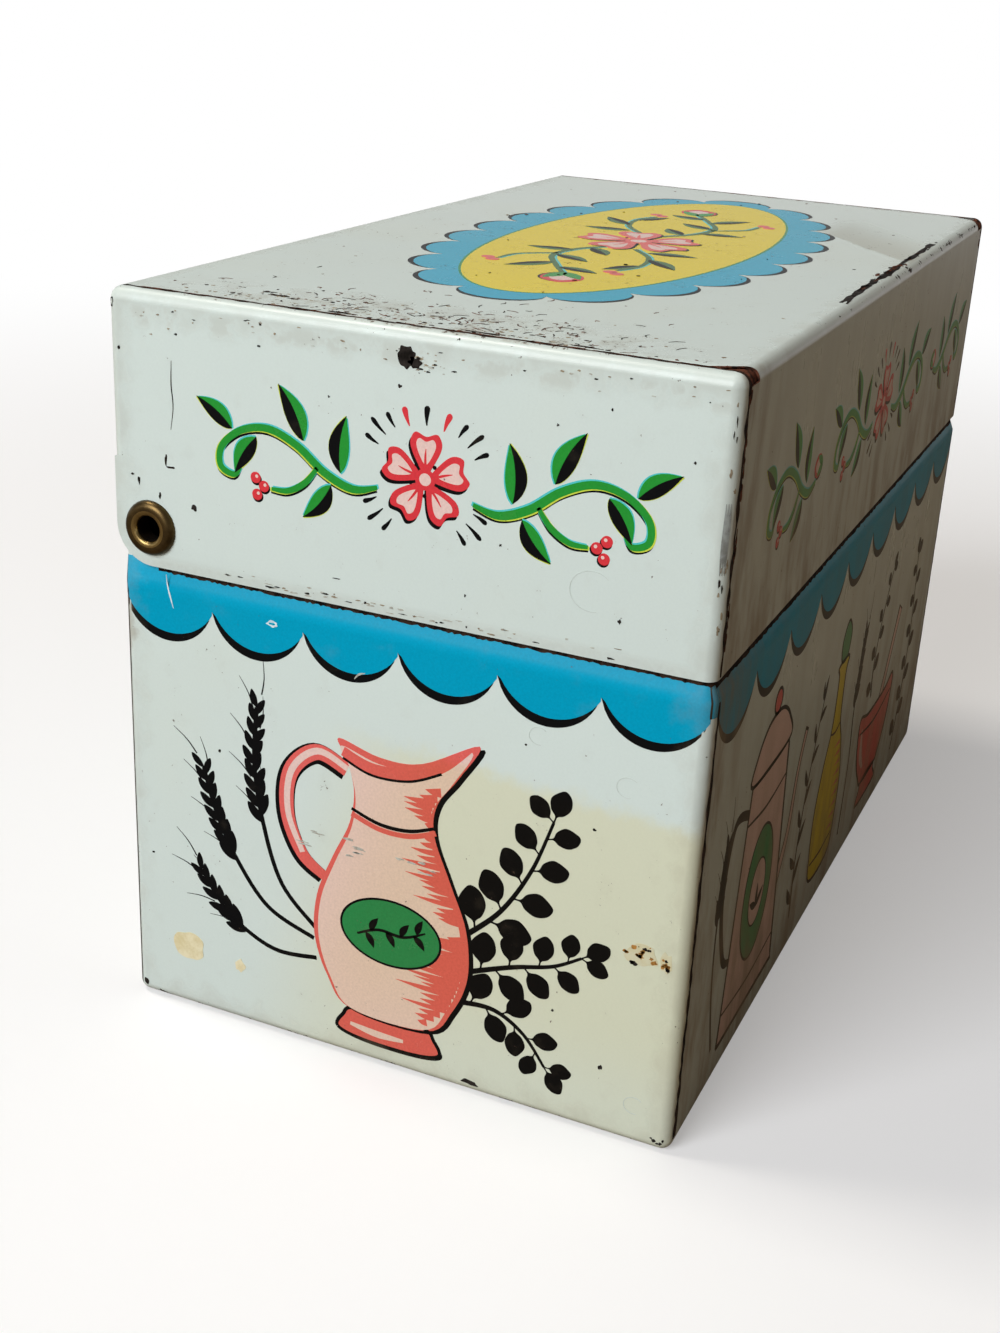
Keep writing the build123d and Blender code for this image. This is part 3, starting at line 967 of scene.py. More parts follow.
# ---------------------------------------------------------------- ornaments
class Ornaments:
    """Stock of plain folk and kitchen ornaments, each drawn round its own origin."""

    FRINGE = 0.16          # how far the cyan and yellow plates of a green miss each other
    STALK = 0.62           # width of a stalk of wheat

    def green_stem(self, points: Sequence[tuple[float, float, float]]) -> Artwork:
        """Draw a green stem with colour fringes and a black lower edge."""
        art, line = Artwork(), stroke(points)
        art.lay(Ink.BLACK, line.moved(u=0.05, v=-0.34), 0)
        art.lay(Ink.TEAL_EDGE, line.moved(u=-self.FRINGE, v=self.FRINGE), 1)
        art.lay(Ink.LIME_EDGE, line.moved(u=self.FRINGE, v=-0.1), 2)
        art.lay(Ink.GREEN, line, 3)
        return art

    def green_leaf(self, length: float, width: float, lean: float) -> Artwork:
        """Draw a green leaf with its lower half in black, along +U."""
        art, whole = Artwork(), leaf(length, width, lean)
        art.lay(Ink.TEAL_EDGE, whole.moved(u=-0.1, v=self.FRINGE), 1)
        art.lay(Ink.LIME_EDGE, whole.moved(u=0.1, v=-self.FRINGE), 2)
        art.lay(Ink.GREEN, whole, 3)
        art.lay(Ink.BLACK, leaf(length * 1.02, width * 1.1, lean, -1), 4)
        return art

    def dash(self, length: float, width: float = 0.55) -> Flat:
        """Draw a short brush dash along +U, fat at its outer end."""
        return stroke([(0, 0, 0.12), (length * 0.45, 0.05, width * 0.7),
                       (length * 0.85, 0, width), (length, 0, width * 0.35)], 5)

    def blossom(self, size: float = 1.0, petals: int = 5) -> Artwork:
        """Draw a round blossom of heart-shaped petals with a black cast edge."""
        whole = [(0.6, 0.0), (2.2, 1.25), (4.0, 1.95), (5.25, 1.35), (4.85, 0.0),
                 (5.25, -1.35), (4.0, -1.95), (2.2, -1.25)]
        inner = [(1.7, 0.0), (2.6, 0.72), (3.9, 1.2), (4.6, 0.85), (4.3, 0.0),
                 (4.6, -0.85), (3.9, -1.2), (2.6, -0.72)]
        art = Artwork()
        red, pink = outline(whole), outline(inner)
        for i in range(petals):
            turn = 90 + 360 / petals * i
            art.lay(Ink.BLACK, red.moved(turn=turn, scale=size).moved(u=-0.22, v=-0.42), 0)
            art.lay(Ink.RED, red.moved(turn=turn, scale=size), 2 + 0.3 * (i % 2))
            art.lay(Ink.PINK, pink.moved(turn=turn, scale=size), 3)
            vein = stroke([(1.3, 0, 0.32), (2.6, 0.05, 0.26), (3.5, 0, 0.08)], 4)
            art.lay(Ink.RED, vein.moved(turn=turn, scale=size), 4)
        art.lay(Ink.RED, disc(0, 0, 1.25 * size), 4)
        art.lay(Ink.PINK, disc(0, 0, 0.72 * size), 5)
        for i in range(5):
            a = math.radians(54 + 72 * i)
            art.lay(Ink.BLACK, disc(1.9 * size * math.cos(a), 1.9 * size * math.sin(a), 0.24), 6)
        return art

    def bud(self, size: float = 1.0) -> Artwork:
        """Draw a small round bud with two sepals, opening along +U."""
        art = Artwork()
        shape = outline([(0, 0), (0.9, 1.05), (2.2, 1.1), (3.1, 0.0), (2.2, -1.1), (0.9, -1.05)])
        art.lay(Ink.BLACK, shape.moved(scale=size).moved(u=-0.1, v=-0.3), 0)
        art.lay(Ink.RED, shape.moved(scale=size), 2)
        art.lay(Ink.PINK, shape.moved(scale=size * 0.58).moved(u=0.75 * size), 3)
        for way in (1, -1):
            art.lay(Ink.GREEN, leaf(2.2, 0.9).moved(turn=28 * way, scale=size), 4)
        return art

    def garland(self) -> Artwork:
        """Draw one arm of a leaf garland, along +U."""
        art = Artwork()
        art.place(self.green_stem([(5.9, -1.9, 0.5), (9.0, -2.6, 0.95), (12.6, -1.3, 1.0),
                                   (16.2, 1.3, 0.95), (20.0, 2.7, 0.9), (23.6, 2.0, 0.85),
                                   (26.2, -0.2, 0.85), (26.4, -2.6, 0.8), (24.6, -3.4, 0.7),
                                   (23.6, -2.2, 0.35)]))
        art.place(self.green_stem([(13.6, -0.9, 0.5), (15.2, -2.9, 0.75), (17.4, -4.2, 0.7),
                                   (19.6, -4.3, 0.45)]))
        for u, v, turn, length, width, lean in (
            (10.6, -1.0, 96, 6.6, 2.5, -0.5), (15.4, 2.0, 62, 6.8, 2.5, 0.5),
            (21.6, 1.5, -58, 5.4, 2.3, 0.4), (24.8, 2.0, 34, 5.6, 2.2, 0.4),
            (11.8, -2.6, -50, 5.6, 2.3, -0.4),
        ):
            art.place(self.green_leaf(length, width, lean), u=u, v=v, turn=turn)
        for u, v in ((20.6, -4.2), (21.7, -3.3), (21.5, -5.3)):
            art.lay(Ink.BLACK, disc(u - 0.1, v - 0.22, 0.72), 0)
            art.lay(Ink.RED, disc(u, v, 0.68), 5)
            art.lay(Ink.PINK, disc(u - 0.15, v + 0.18, 0.2), 6)
        return art

    def sparks(self) -> Artwork:
        """Draw groups of black dashes that fan out from a blossom."""
        art = Artwork()
        for centre in (42, 138, -40, 220):
            for i in range(3):
                a = centre + (i - 1) * 13.0
                length = 2.5 if i == 1 else 1.9
                u, v = 6.7 * math.cos(math.radians(a)), 6.5 * math.sin(math.radians(a))
                art.lay(Ink.BLACK, self.dash(length).moved(u=u, v=v, turn=a), 1)
        for way in (-1, 0, 1):
            a = 90 + way * 20
            u, v = 6.1 * math.cos(math.radians(a)), 6.1 * math.sin(math.radians(a))
            art.lay(Ink.RED if way else Ink.BLACK, self.dash(2.2, 0.7).moved(u=u, v=v, turn=a), 1)
        return art

    @staticmethod
    def _scatter(art: Artwork, shape: Flat, grown: Flat, layer: float) -> None:
        """Print the copies of a shape in black, on thirds of a layer so that none coincide."""
        n, m = len(shape.points), len(shape.faces)
        for i in range(len(grown.points) // n):
            faces = [tuple(j - i * n for j in face) for face in grown.faces[i * m:(i + 1) * m]]
            art.lay(Ink.BLACK, Flat(grown.points[i * n:(i + 1) * n], faces), layer + i % 3 / 3)

    def wheat(self, stem: Sequence[Point], ear_from: int, grains: int, seed: int) -> Artwork:
        """Draw an ear of wheat in black.

        Args:
            stem: points from foot to tip.
            ear_from: index of the point where the ear starts.
            grains: number of grains.
            seed: seed of their small turns.

        Returns:
            The artwork.
        """
        art = Artwork()
        art.lay(Ink.BLACK, stroke([(u, v, self.STALK) for u, v in stem]), 1)
        ear = [tuple(p[:2]) for p in smooth(stem[ear_from:], 6)]
        grain = outline([(0, 0), (0.9, 0.62), (2.2, 0.66), (3.3, 0.0), (2.2, -0.5), (0.9, -0.45)])
        self._scatter(art, grain, REPEAT.up_a_stem(grain, ear, grains, 27, (1.0, 0.74), 6, seed),
                      2)
        awn = stroke([(2.2, 0, 0.22), (4.6, 0.5, 0.16), (7.0, 1.6, 0.06)], 4)
        art.lay(Ink.BLACK, REPEAT.up_a_stem(awn, ear, grains // 2, 17, (0.8, 0.9), 7, seed + 1), 1)
        return art

    def leafy_sprig(self, stem: Sequence[Point], count: int, size: float, seed: int,
                    round_leaf: bool = True) -> Artwork:
        """Draw a black sprig with leaves left and right in turn.

        Args:
            stem: points from foot to tip.
            count: number of leaves.
            size: scale of the leaves.
            seed: seed of their small turns.
            round_leaf: oval leaves on stalks, or else slim ones.

        Returns:
            The artwork.
        """
        art = Artwork()
        n = len(stem)
        art.lay(Ink.BLACK, stroke([(u, v, 0.75 - 0.5 * i / n) for i, (u, v) in enumerate(stem)]),
                1)
        line = [tuple(p[:2]) for p in smooth(stem, 6)]
        line = line[len(line) // 7:]
        if round_leaf:
            shape = outline([(0, 0.12), (0.9, 0.16), (1.6, 1.0), (2.9, 1.45), (4.1, 0.75),
                             (4.6, 0.0), (4.0, -0.95), (2.7, -1.35), (1.5, -0.85), (0.9, -0.14),
                             (0, -0.12)], 4)
            spread = 58
        else:
            shape, spread = leaf(5.0, 1.5, 0.35), 40
        layer = 2 + seed % 5
        self._scatter(art, shape, REPEAT.up_a_stem(shape, line, count, spread,
                                                   (size, size * 0.68), 9, seed), layer)
        end, before = line[-1], line[-3]
        turn = math.degrees(math.atan2(end[1] - before[1], end[0] - before[0]))
        art.lay(Ink.BLACK, shape.moved(u=end[0], v=end[1], turn=turn, scale=size * 0.75),
                layer + 0.8)
        return art

    def edged(self, points: Sequence[Point], fill: Ink | None, edge: float = 0.42,
              cast: Point = (0.0, 0.0), layer: float = 1.0, rounded: bool = True) -> Artwork:
        """Fill an outline and draw a line round it.

        Args:
            points: the outline.
            fill: its ink, or None for bare enamel.
            edge: width of the line.
            cast: shift of a black cast edge under it.
            layer: layer of the fill.
            rounded: whether the outline is a smooth curve.

        Returns:
            The artwork.
        """
        art, body = Artwork(), outline(points, rounded=rounded)
        if any(cast):
            art.lay(Ink.BLACK, body.moved(u=cast[0], v=cast[1]), layer - 1)
        if fill:
            art.lay(fill, body, layer)
        ring = [(u, v, edge) for u, v in points]
        ring = smooth(ring, 6, True) if rounded else ring
        art.lay(Ink.BLACK, stroke([*ring, ring[0]], 1), layer + 2)
        return art

    def pitcher(self) -> Artwork:
        """Draw a coral-pink kitchen pitcher with a plain green oval, its foot at v = 3."""
        art = Artwork()
        left = [(-5.4, 6.6), (-8.8, 10.5), (-10.7, 16.0), (-10.4, 22.0), (-8.2, 28.0),
                (-6.0, 33.0), (-5.4, 37.5), (-6.4, 41.6), (-7.6, 44.2)]
        right = [(10.9, 47.4), (8.4, 42.6), (5.8, 38.6), (5.5, 34.4), (7.8, 28.6), (10.2, 22.6),
                 (10.7, 16.0), (8.8, 10.5), (5.4, 6.6)]
        body = [*left, (-2.0, 42.9), (3.6, 43.4), *right]
        handle = [(-6.4, 40.2, 1.9), (-10.6, 41.6, 2.1), (-14.2, 38.2, 2.1), (-14.7, 32.4, 2.0),
                  (-12.6, 27.2, 1.8), (-9.4, 24.8, 1.4)]
        art.lay(Ink.BLACK, stroke([(u, v, w + 0.7) for u, v, w in handle]).moved(u=-0.2, v=-0.25),
                0)
        art.lay(Ink.CORAL, stroke(handle), 1)
        art.lay(Ink.PINK, stroke([(u + 0.1, v + 0.15, w * 0.42) for u, v, w in handle[:-1]]), 2)
        foot = [(-7.2, 3.4), (-6.5, 5.4), (-4.6, 6.9), (4.6, 6.9), (6.5, 5.4), (7.2, 3.4),
                (3.6, 2.5), (-3.6, 2.5)]
        art.place(self.edged(foot, Ink.CORAL, 0.5, (0.4, -0.35), 1))
        art.lay(Ink.PINK, stroke([(-5.4, 4.4, 0.5), (-1.6, 3.9, 1.0), (2.2, 4.0, 0.5)]), 2)
        whole = outline(body)
        art.lay(Ink.BLACK, whole.moved(u=0.62, v=-0.3), 2)
        art.lay(Ink.CORAL, whole, 3)
        inner = [(u * 0.93 - 0.15, 6.9 + (v - 6.9) * 0.975) for u, v in body]
        art.lay(Ink.PINK, outline(inner), 4)
        # shading: three swelling groups of uneven brush lines that run in from the right
        spans = [(7.4, 5.0), (10.5, 8.2), (16.0, 10.1), (22.0, 9.8), (28.0, 7.7), (33.0, 5.4),
                 (37.5, 5.0), (41.0, 6.6)]
        dice = random.Random(11)
        for low, high, deep in ((7.8, 21.0, 1.15), (23.2, 34.0, 0.95), (35.6, 40.9, 0.8)):
            v, k = low, 0
            while v < high:
                i = next(i for i, (a, _) in enumerate(spans) if v <= a)
                (a, p), (b, q) = spans[i - 1], spans[i]
                edge = p + (q - p) * (v - a) / (b - a)
                swell = math.sin(math.pi * (v - low + 0.6) / (high - low + 1.2)) ** 0.6
                reach = edge * deep * swell * dice.uniform(0.45, 1.0)
                thick = dice.uniform(0.8, 1.25)
                brush = [(edge, v + 0.1, thick), (edge - reach * 0.5, v, thick * 0.7),
                         (edge - reach, v + 0.12, 0.05)]
                art.lay(Ink.CORAL, stroke(brush, 4), 5 + k % 3 / 3)
                v, k = v + dice.uniform(0.6, 0.95), k + 1
        rim = [(-7.0, 42.6, 1.3), (-3.0, 41.2, 1.5), (2.0, 41.6, 1.6), (6.2, 43.6, 1.4),
               (9.8, 46.6, 0.5)]
        art.lay(Ink.CORAL, stroke(rim), 6)
        art.lay(Ink.BLACK, stroke([(u, v - 0.9, 0.34) for u, v, _ in rim[:-1]]), 7)
        neck = [(-5.7, 35.2, 0.4), (-1.8, 34.0, 0.5), (2.2, 34.1, 0.5), (5.7, 35.4, 0.4)]
        art.lay(Ink.BLACK, stroke(neck), 7)
        art.lay(Ink.CORAL, stroke([(u, v - 0.7, 0.7) for u, v, _ in neck]), 6)
        oval = [(6.9 * math.cos(a), 19.2 + 4.6 * math.sin(a))
                for a in (math.tau * i / 16 for i in range(16))]
        art.place(self.edged(oval, Ink.LABEL_GREEN, 0.3, (0, 0), 8))
        art.lay(Ink.BLACK, stroke([(-4.6, 18.0, 0.3), (-1.6, 19.3, 0.42), (1.8, 19.2, 0.42),
                                   (4.8, 20.6, 0.25)]), 11)
        for u, v, turn in ((-2.8, 18.9, 62), (-0.6, 19.3, -58), (1.4, 19.2, 60),
                           (3.2, 19.8, -48), (-3.4, 18.5, -60), (3.6, 20.1, 70)):
            art.lay(Ink.BLACK, leaf(2.3, 0.95, 0.15).moved(u=u, v=v, turn=turn), 11)
        return art

    def coffee_pot(self) -> Artwork:
        """Draw a tall enamel coffee pot in line with a green oval, its foot at v = 0."""
        art = Artwork()
        art.lay(Ink.BLACK, stroke([(9.0, 12.0, 2.6), (12.6, 17.5, 2.0), (14.2, 25.0, 1.6),
                                   (16.6, 30.0, 1.7)]), 0)
        art.lay(Ink.PINK, stroke([(9.0, 12.0, 1.8), (12.6, 17.5, 1.2), (14.2, 25.0, 0.8),
                                  (16.4, 29.6, 0.9)]), 1)
        art.lay(Ink.BLACK, stroke([(-7.4, 29.0, 1.2), (-13.0, 30.0, 1.3), (-15.2, 22.0, 1.3),
                                   (-12.6, 13.4, 1.2), (-9.6, 11.4, 0.9)]), 1)
        body = [(-11.0, 0.6), (-10.8, 2.0), (-7.4, 32.0), (7.4, 32.0), (10.8, 2.0), (11.0, 0.6)]
        art.place(self.edged(body, Ink.PINK, 0.55, (0.5, -0.4), 2, rounded=False))
        dome = [(-7.4, 32.2), (-6.4, 35.6), (-2.6, 38.0), (2.6, 38.0), (6.4, 35.6), (7.4, 32.2)]
        art.place(self.edged(dome, Ink.PINK, 0.5, (0.3, -0.2), 2))
        art.place(self.edged([(1.5 * math.cos(a), 39.8 + 1.5 * math.sin(a))
                              for a in (math.tau * i / 10 for i in range(10))], Ink.CORAL, 0.4,
                             (0, 0), 2))
        art.lay(Ink.BLACK, stroke([(-10.2, 4.6, 0.3), (0, 3.8, 0.4), (10.2, 4.6, 0.3)]), 5)
        art.lay(Ink.BLACK, stroke([(-8.1, 27.6, 0.3), (0, 26.8, 0.4), (8.1, 27.6, 0.3)]), 5)
        oval = [(5.9 * math.cos(a), 15.6 + 8.6 * math.sin(a))
                for a in (math.tau * i / 16 for i in range(16))]
        art.place(self.edged(oval, Ink.LABEL_GREEN, 0.35, (0, 0), 5))
        small = [(u * 0.55, 15.6 + (v - 15.6) * 0.5) for u, v in oval]
        art.place(self.edged(small, Ink.PINK, 0.25, (0, 0), 8))
        for turn in (30, 90, 150):
            art.lay(Ink.BLACK, leaf(3.2, 1.0).moved(u=0, v=13.6, turn=turn), 11)
        return art

    def cruet(self) -> Artwork:
        """Draw a yellow oil cruet, its foot at v = 0."""
        art = Artwork()
        body = [(-4.6, 0.4), (-6.4, 5.0), (-6.6, 11.0), (-4.6, 17.0), (-2.2, 21.6), (-1.8, 28.0),
                (-2.6, 30.0), (2.6, 30.0), (1.8, 28.0), (2.2, 21.6), (4.6, 17.0), (6.6, 11.0),
                (6.4, 5.0), (4.6, 0.4)]
        art.place(self.edged(body, Ink.YELLOW, 0.45, (0.4, -0.3), 1))
        art.place(self.edged([(-1.5, 30.4), (-2.3, 33.4), (0, 35.6), (2.3, 33.4), (1.5, 30.4)],
                             Ink.LABEL_GREEN, 0.4, (0.2, -0.2), 1))
        for v, half in ((20.6, 2.4), (3.2, 5.6)):
            art.lay(Ink.BLACK, stroke([(-half, v, 0.25), (0, v - 0.5, 0.4), (half, v, 0.25)]), 4)
        for i in range(9):
            v = 4.6 + 1.6 * i
            edge = 5.8 - 0.06 * (v - 9) ** 2 * 0.5
            art.lay(Ink.CORAL, stroke([(edge, v, 0.6), (edge - 2.8, v + 0.1, 0.05)], 4), 3)
        return art

    def mortar(self) -> Artwork:
        """Draw a coral mortar with its pestle, its foot at v = 0."""
        art = Artwork()
        art.lay(Ink.BLACK, stroke([(2.0, 14.0, 2.6), (6.0, 21.0, 2.4), (9.4, 27.0, 2.8)]), 0)
        art.lay(Ink.PINK, stroke([(2.0, 14.0, 1.7), (6.0, 21.0, 1.5), (9.4, 26.7, 1.9)]), 1)
        bowl = [(-10.4, 16.0), (-9.6, 9.6), (-6.0, 4.6), (-4.0, 3.6), (4.0, 3.6), (6.0, 4.6),
                (9.6, 9.6), (10.4, 16.0), (5.0, 15.2), (-5.0, 15.2)]
        foot = [(-5.6, 0.3), (-4.6, 2.4), (-3.6, 3.8), (3.6, 3.8), (4.6, 2.4), (5.6, 0.3)]
        art.place(self.edged(foot, Ink.CORAL, 0.45, (0.3, -0.2), 1))
        art.place(self.edged(bowl, Ink.CORAL, 0.5, (0.5, -0.3), 3))
        art.lay(Ink.PINK, stroke([(-8.4, 14.0, 0.5), (-7.2, 9.4, 1.6), (-4.6, 6.4, 0.5)]), 6)
        art.lay(Ink.BLACK, stroke([(-9.8, 13.6, 0.3), (0, 12.4, 0.45), (9.8, 13.6, 0.3)]), 7)
        return art


# ---------------------------------------------------------------- the printed decoration
@dataclass
class ScallopBand:
    """Blue scalloped band with black crescents round the body, just under the lid."""

    # heights that its faces break at to follow the shoulder, from the top down
    STOPS = (TIN.shoulder_end - 0.1, TIN.seam, 60.8, 60.0, TIN.shoulder_start, 58.4)

    cusp: float = 4.3          # cusps lie this far below the seam
    end_lobes: int = 6
    side_lobes: int = 9
    end_drop: float = 5.0      # black lobe below its cusps on an end
    side_drop: float = 5.7
    crescent: float = 1.1      # black left showing at the bottom of a lobe
    slip: float = 0.28         # blue plate printed this far to the right of the black
    columns: int = 26
    # the dark line under the lid is painted shade of the gap between lid and shoulder, with some
    # dirt
    gap_shade_foot: Point = (60.95, 60.5)     # foot of the dark line under the lid: ends, front

    def _lobe(self, pitch: float, drop: float, shift: float) -> Flat:
        """Draw one lobe from the band's top to its arc, as a grid that can follow the folds."""
        points: list[Point] = []
        half = pitch / 2
        radius = (half * half + drop * drop) / (2 * drop)
        for i in range(self.columns + 1):
            u = pitch * i / self.columns
            off = min(max(u - half - shift, -half), half)
            low = TIN.seam - self.cusp - drop + radius - math.sqrt(radius ** 2 - off ** 2)
            last = self.STOPS[-1]
            points += [(u, v) for v in (*self.STOPS, (last + low) / 2, low)]
        return Flat(points, grid_faces(self.columns + 1, len(self.STOPS) + 2))

    def _gap_shade(self, start: float, end: float, foot: float) -> Flat:
        """Draw the shoulder's dark line under the lid's rim: painted gap shade and some dirt."""
        dice, count = random.Random(5), 200
        points: list[Point] = []
        for i in range(count + 1):
            u = start + (end - start) * i / count
            points += [(u, v) for v in (*self.STOPS[:2], foot + dice.uniform(-0.1, 0.1))]
        return Flat(points, grid_faces(count + 1, 3))

    def _run(self, length: float, lobes: int, drop: float, tails: float = 0.0) -> Artwork:
        """Print the band along one panel.

        Args:
            length: distance between the outermost cusps.
            lobes: number of lobes.
            drop: height of a black lobe.
            tails: length of plain blue past the outermost cusps.

        Returns:
            The artwork, with u = 0 in the middle of the panel.
        """
        art, pitch = Artwork(), length / lobes
        black = REPEAT.in_a_row(self._lobe(pitch, drop, 0.0), lobes, pitch)
        blue = REPEAT.in_a_row(self._lobe(pitch, drop - self.crescent, self.slip), lobes, pitch)
        art.lay(Ink.BLACK, black.moved(u=-length / 2), 0)
        art.lay(Ink.BLUE, blue.moved(u=-length / 2), 2)
        if tails:
            stops = (*self.STOPS, TIN.seam - self.cusp)
            for way in (-1, 1):
                for ink, layer, start, end in ((Ink.BLUE, 2, 0.13, tails),
                                               (Ink.BLACK, 3, -0.13, 0.13)):
                    cols = [start + (end - start) * i / 6 for i in range(7)]
                    points = [(way * (length / 2 + c), v) for c in cols for v in stops]
                    art.lay(ink, Flat(points, grid_faces(len(cols), len(stops))), layer)
        return art

    def build(self) -> list[bpy.types.Object]:
        """Print the band on all four sides of the body."""
        made = []
        for side, name in ((-1, "near"), (1, "far")):
            skin = BodyEndSkin(side)
            length = 2 * (skin.flat + skin.arc / 2)
            tail = skin.arc / 2 + 0.08
            art = self._run(length, self.end_lobes, self.end_drop, tail)
            # it stops where the lid's ear curves up round the hinge
            start, end = 0.6 - TIN.hinge_y, length / 2 + tail
            if side > 0:
                start, end = -end, -start
            # painted shade in the gap under the lid's rim, with some dirt
            art.lay(SEAM_DIRT_AND_SHADE, self._gap_shade(start, end, self.gap_shade_foot[0]), 7)
            made.append(PrintedPiece(f"scallop_band_{name}_end", "body", skin.at, art).build())
        for front, name in ((True, "front"), (False, "back")):
            skin = WrapFrontSkin(front)
            art = self._run(2 * TIN.wrap_half - 0.06, self.side_lobes, self.side_drop)
            if front:
                # painted shade in the gap under the lid's rim, deeper on the front, with some dirt
                art.lay(SEAM_DIRT_AND_SHADE, self._gap_shade(0.03 - TIN.wrap_half, TIN.wrap_half - 0.03,
                                             self.gap_shade_foot[1]), 7)
            made.append(PrintedPiece(f"scallop_band_{name}", "body", skin.at, art).build())
        return made


@dataclass
class Medallion:
    """Yellow oval with a blue scalloped border on top of the lid."""

    centre: Point = (4.6, -0.3)
    yellow: Point = (46.6, 17.4)     # half-length and half-width
    cusps: Point = (48.6, 21.3)      # oval on which the lobes meet
    lobes: int = 20
    drop: float = 4.0
    bluntness: float = 0.62          # power that flattens the lobes' ends
    crescent: float = 0.75

    def _ring(self, t: float, out: float) -> Point:
        """Return a place on the cusp oval, moved outwards; t runs from 0 to 1 by length."""
        a, b = self.cusps
        if not hasattr(self, "_walk"):
            steps = 720
            spots = [(a * math.cos(math.tau * i / steps), b * math.sin(math.tau * i / steps))
                     for i in range(steps + 1)]
            total, walk = 0.0, [0.0]
            for p, q in zip(spots, spots[1:]):
                total += math.dist(p, q)
                walk.append(total)
            self._walk, self._total, self._steps = walk, total, steps
        goal = (t % 1.0) * self._total
        low, high = 0, self._steps
        while high - low > 1:
            mid = (low + high) // 2
            low, high = (mid, high) if self._walk[mid] <= goal else (low, mid)
        part = (goal - self._walk[low]) / (self._walk[high] - self._walk[low])
        angle = math.tau * (low + part) / self._steps
        u, v = a * math.cos(angle), b * math.sin(angle)
        nu, nv = b * math.cos(angle), a * math.sin(angle)
        size = math.hypot(nu, nv)
        return (u + nu / size * out, v + nv / size * out)

    def _border(self, drop: float) -> Flat:
        """Draw the scalloped border as one closed ring of lobes."""
        cols, points = 18, []
        for i in range(cols + 1):
            x = i / cols
            depth = drop * (1 - (2 * x - 1) ** 2) ** self.bluntness
            points += [(x, -3.0), (x, 0.0), (x, depth)]
        strip = REPEAT.in_a_row(Flat(points, grid_faces(cols + 1, 3)), self.lobes, 1.0)
        return Flat([self._ring((u + 0.5) / self.lobes, v) for u, v in strip.points], strip.faces)

    def _oval(self, half: Point, grow: float = 0.0) -> Flat:
        """Fill an oval."""
        return outline([((half[0] + grow) * math.cos(a), (half[1] + grow) * math.sin(a))
                        for a in (math.tau * i / 96 for i in range(96))], rounded=False)

    def artwork(self, stock: Ornaments) -> Artwork:
        """Draw the border, the oval and a spray of blossoms, round (0, 0)."""
        art = Artwork()
        art.lay(Ink.BLACK, self._border(self.drop), 0)
        art.lay(Ink.PALE_BLUE, self._border(self.drop - self.crescent), 1)
        art.lay(Ink.PALE_BLUE, self._oval(self.yellow, 1.6), 2)
        art.lay(Ink.LABEL_GREEN, self._oval(self.yellow, 0.35), 3)
        art.lay(Ink.YELLOW, self._oval(self.yellow), 4)
        spray = Artwork()
        for way in (False, True):
            arm = Artwork()
            for line in ([(6.0, -1.0, 0.9), (12.0, -4.6, 1.0), (19.0, -5.4, 0.9),
                          (26.0, -2.0, 0.8), (31.0, 1.0, 0.7)],
                         [(7.0, 2.0, 0.8), (13.0, 6.2, 0.8), (20.0, 7.4, 0.7),
                          (25.0, 6.0, 0.5)],
                         [(17.0, -5.4, 0.7), (21.0, -9.6, 0.7), (26.0, -10.4, 0.5)]):
                arm.lay(Ink.TEAL_EDGE, stroke(line).moved(u=-0.1, v=0.3), 1)
                arm.lay(Ink.SAGE, stroke(line), 2)
            for u, v, turn, length in (
                (9.0, 4.6, 96, 7.0), (14.0, 6.6, 44, 8.0), (13.0, -4.8, -82, 6.6),
                (18.0, -5.2, 60, 6.6), (24.0, -3.2, -36, 7.6), (19.5, 7.2, -30, 6.4),
                (27.0, -1.2, 74, 6.2), (10.0, -3.2, 40, 6.0),
            ):
                arm.lay(Ink.SAGE, leaf(length, 2.5, 0.3).moved(u=u, v=v, turn=turn), 3)
                arm.lay(Ink.BLACK, leaf(length, 2.5, 0.3, -1).moved(u=u, v=v, turn=turn), 4)
            for u, v in ((26.2, 5.6), (27.2, -10.6), (25.9, -11.8), (27.2, 6.9)):
                arm.lay(Ink.CORAL, disc(u, v, 0.95), 5)
            bud = stock.bud(2.3)
            arm.place(bud, u=30.4, v=1.2, turn=14)
            spray.place(arm, turn=180 if way else 0)
        rose = stock.blossom(1.62)
        for ink, layer, shape in rose.films:
            spray.lay(Ink.CORAL if ink is Ink.RED else ink, shape, layer + 5)
        for ink, layer, shape in spray.films:
            art.lay(ink, shape, layer + 6)
        return art


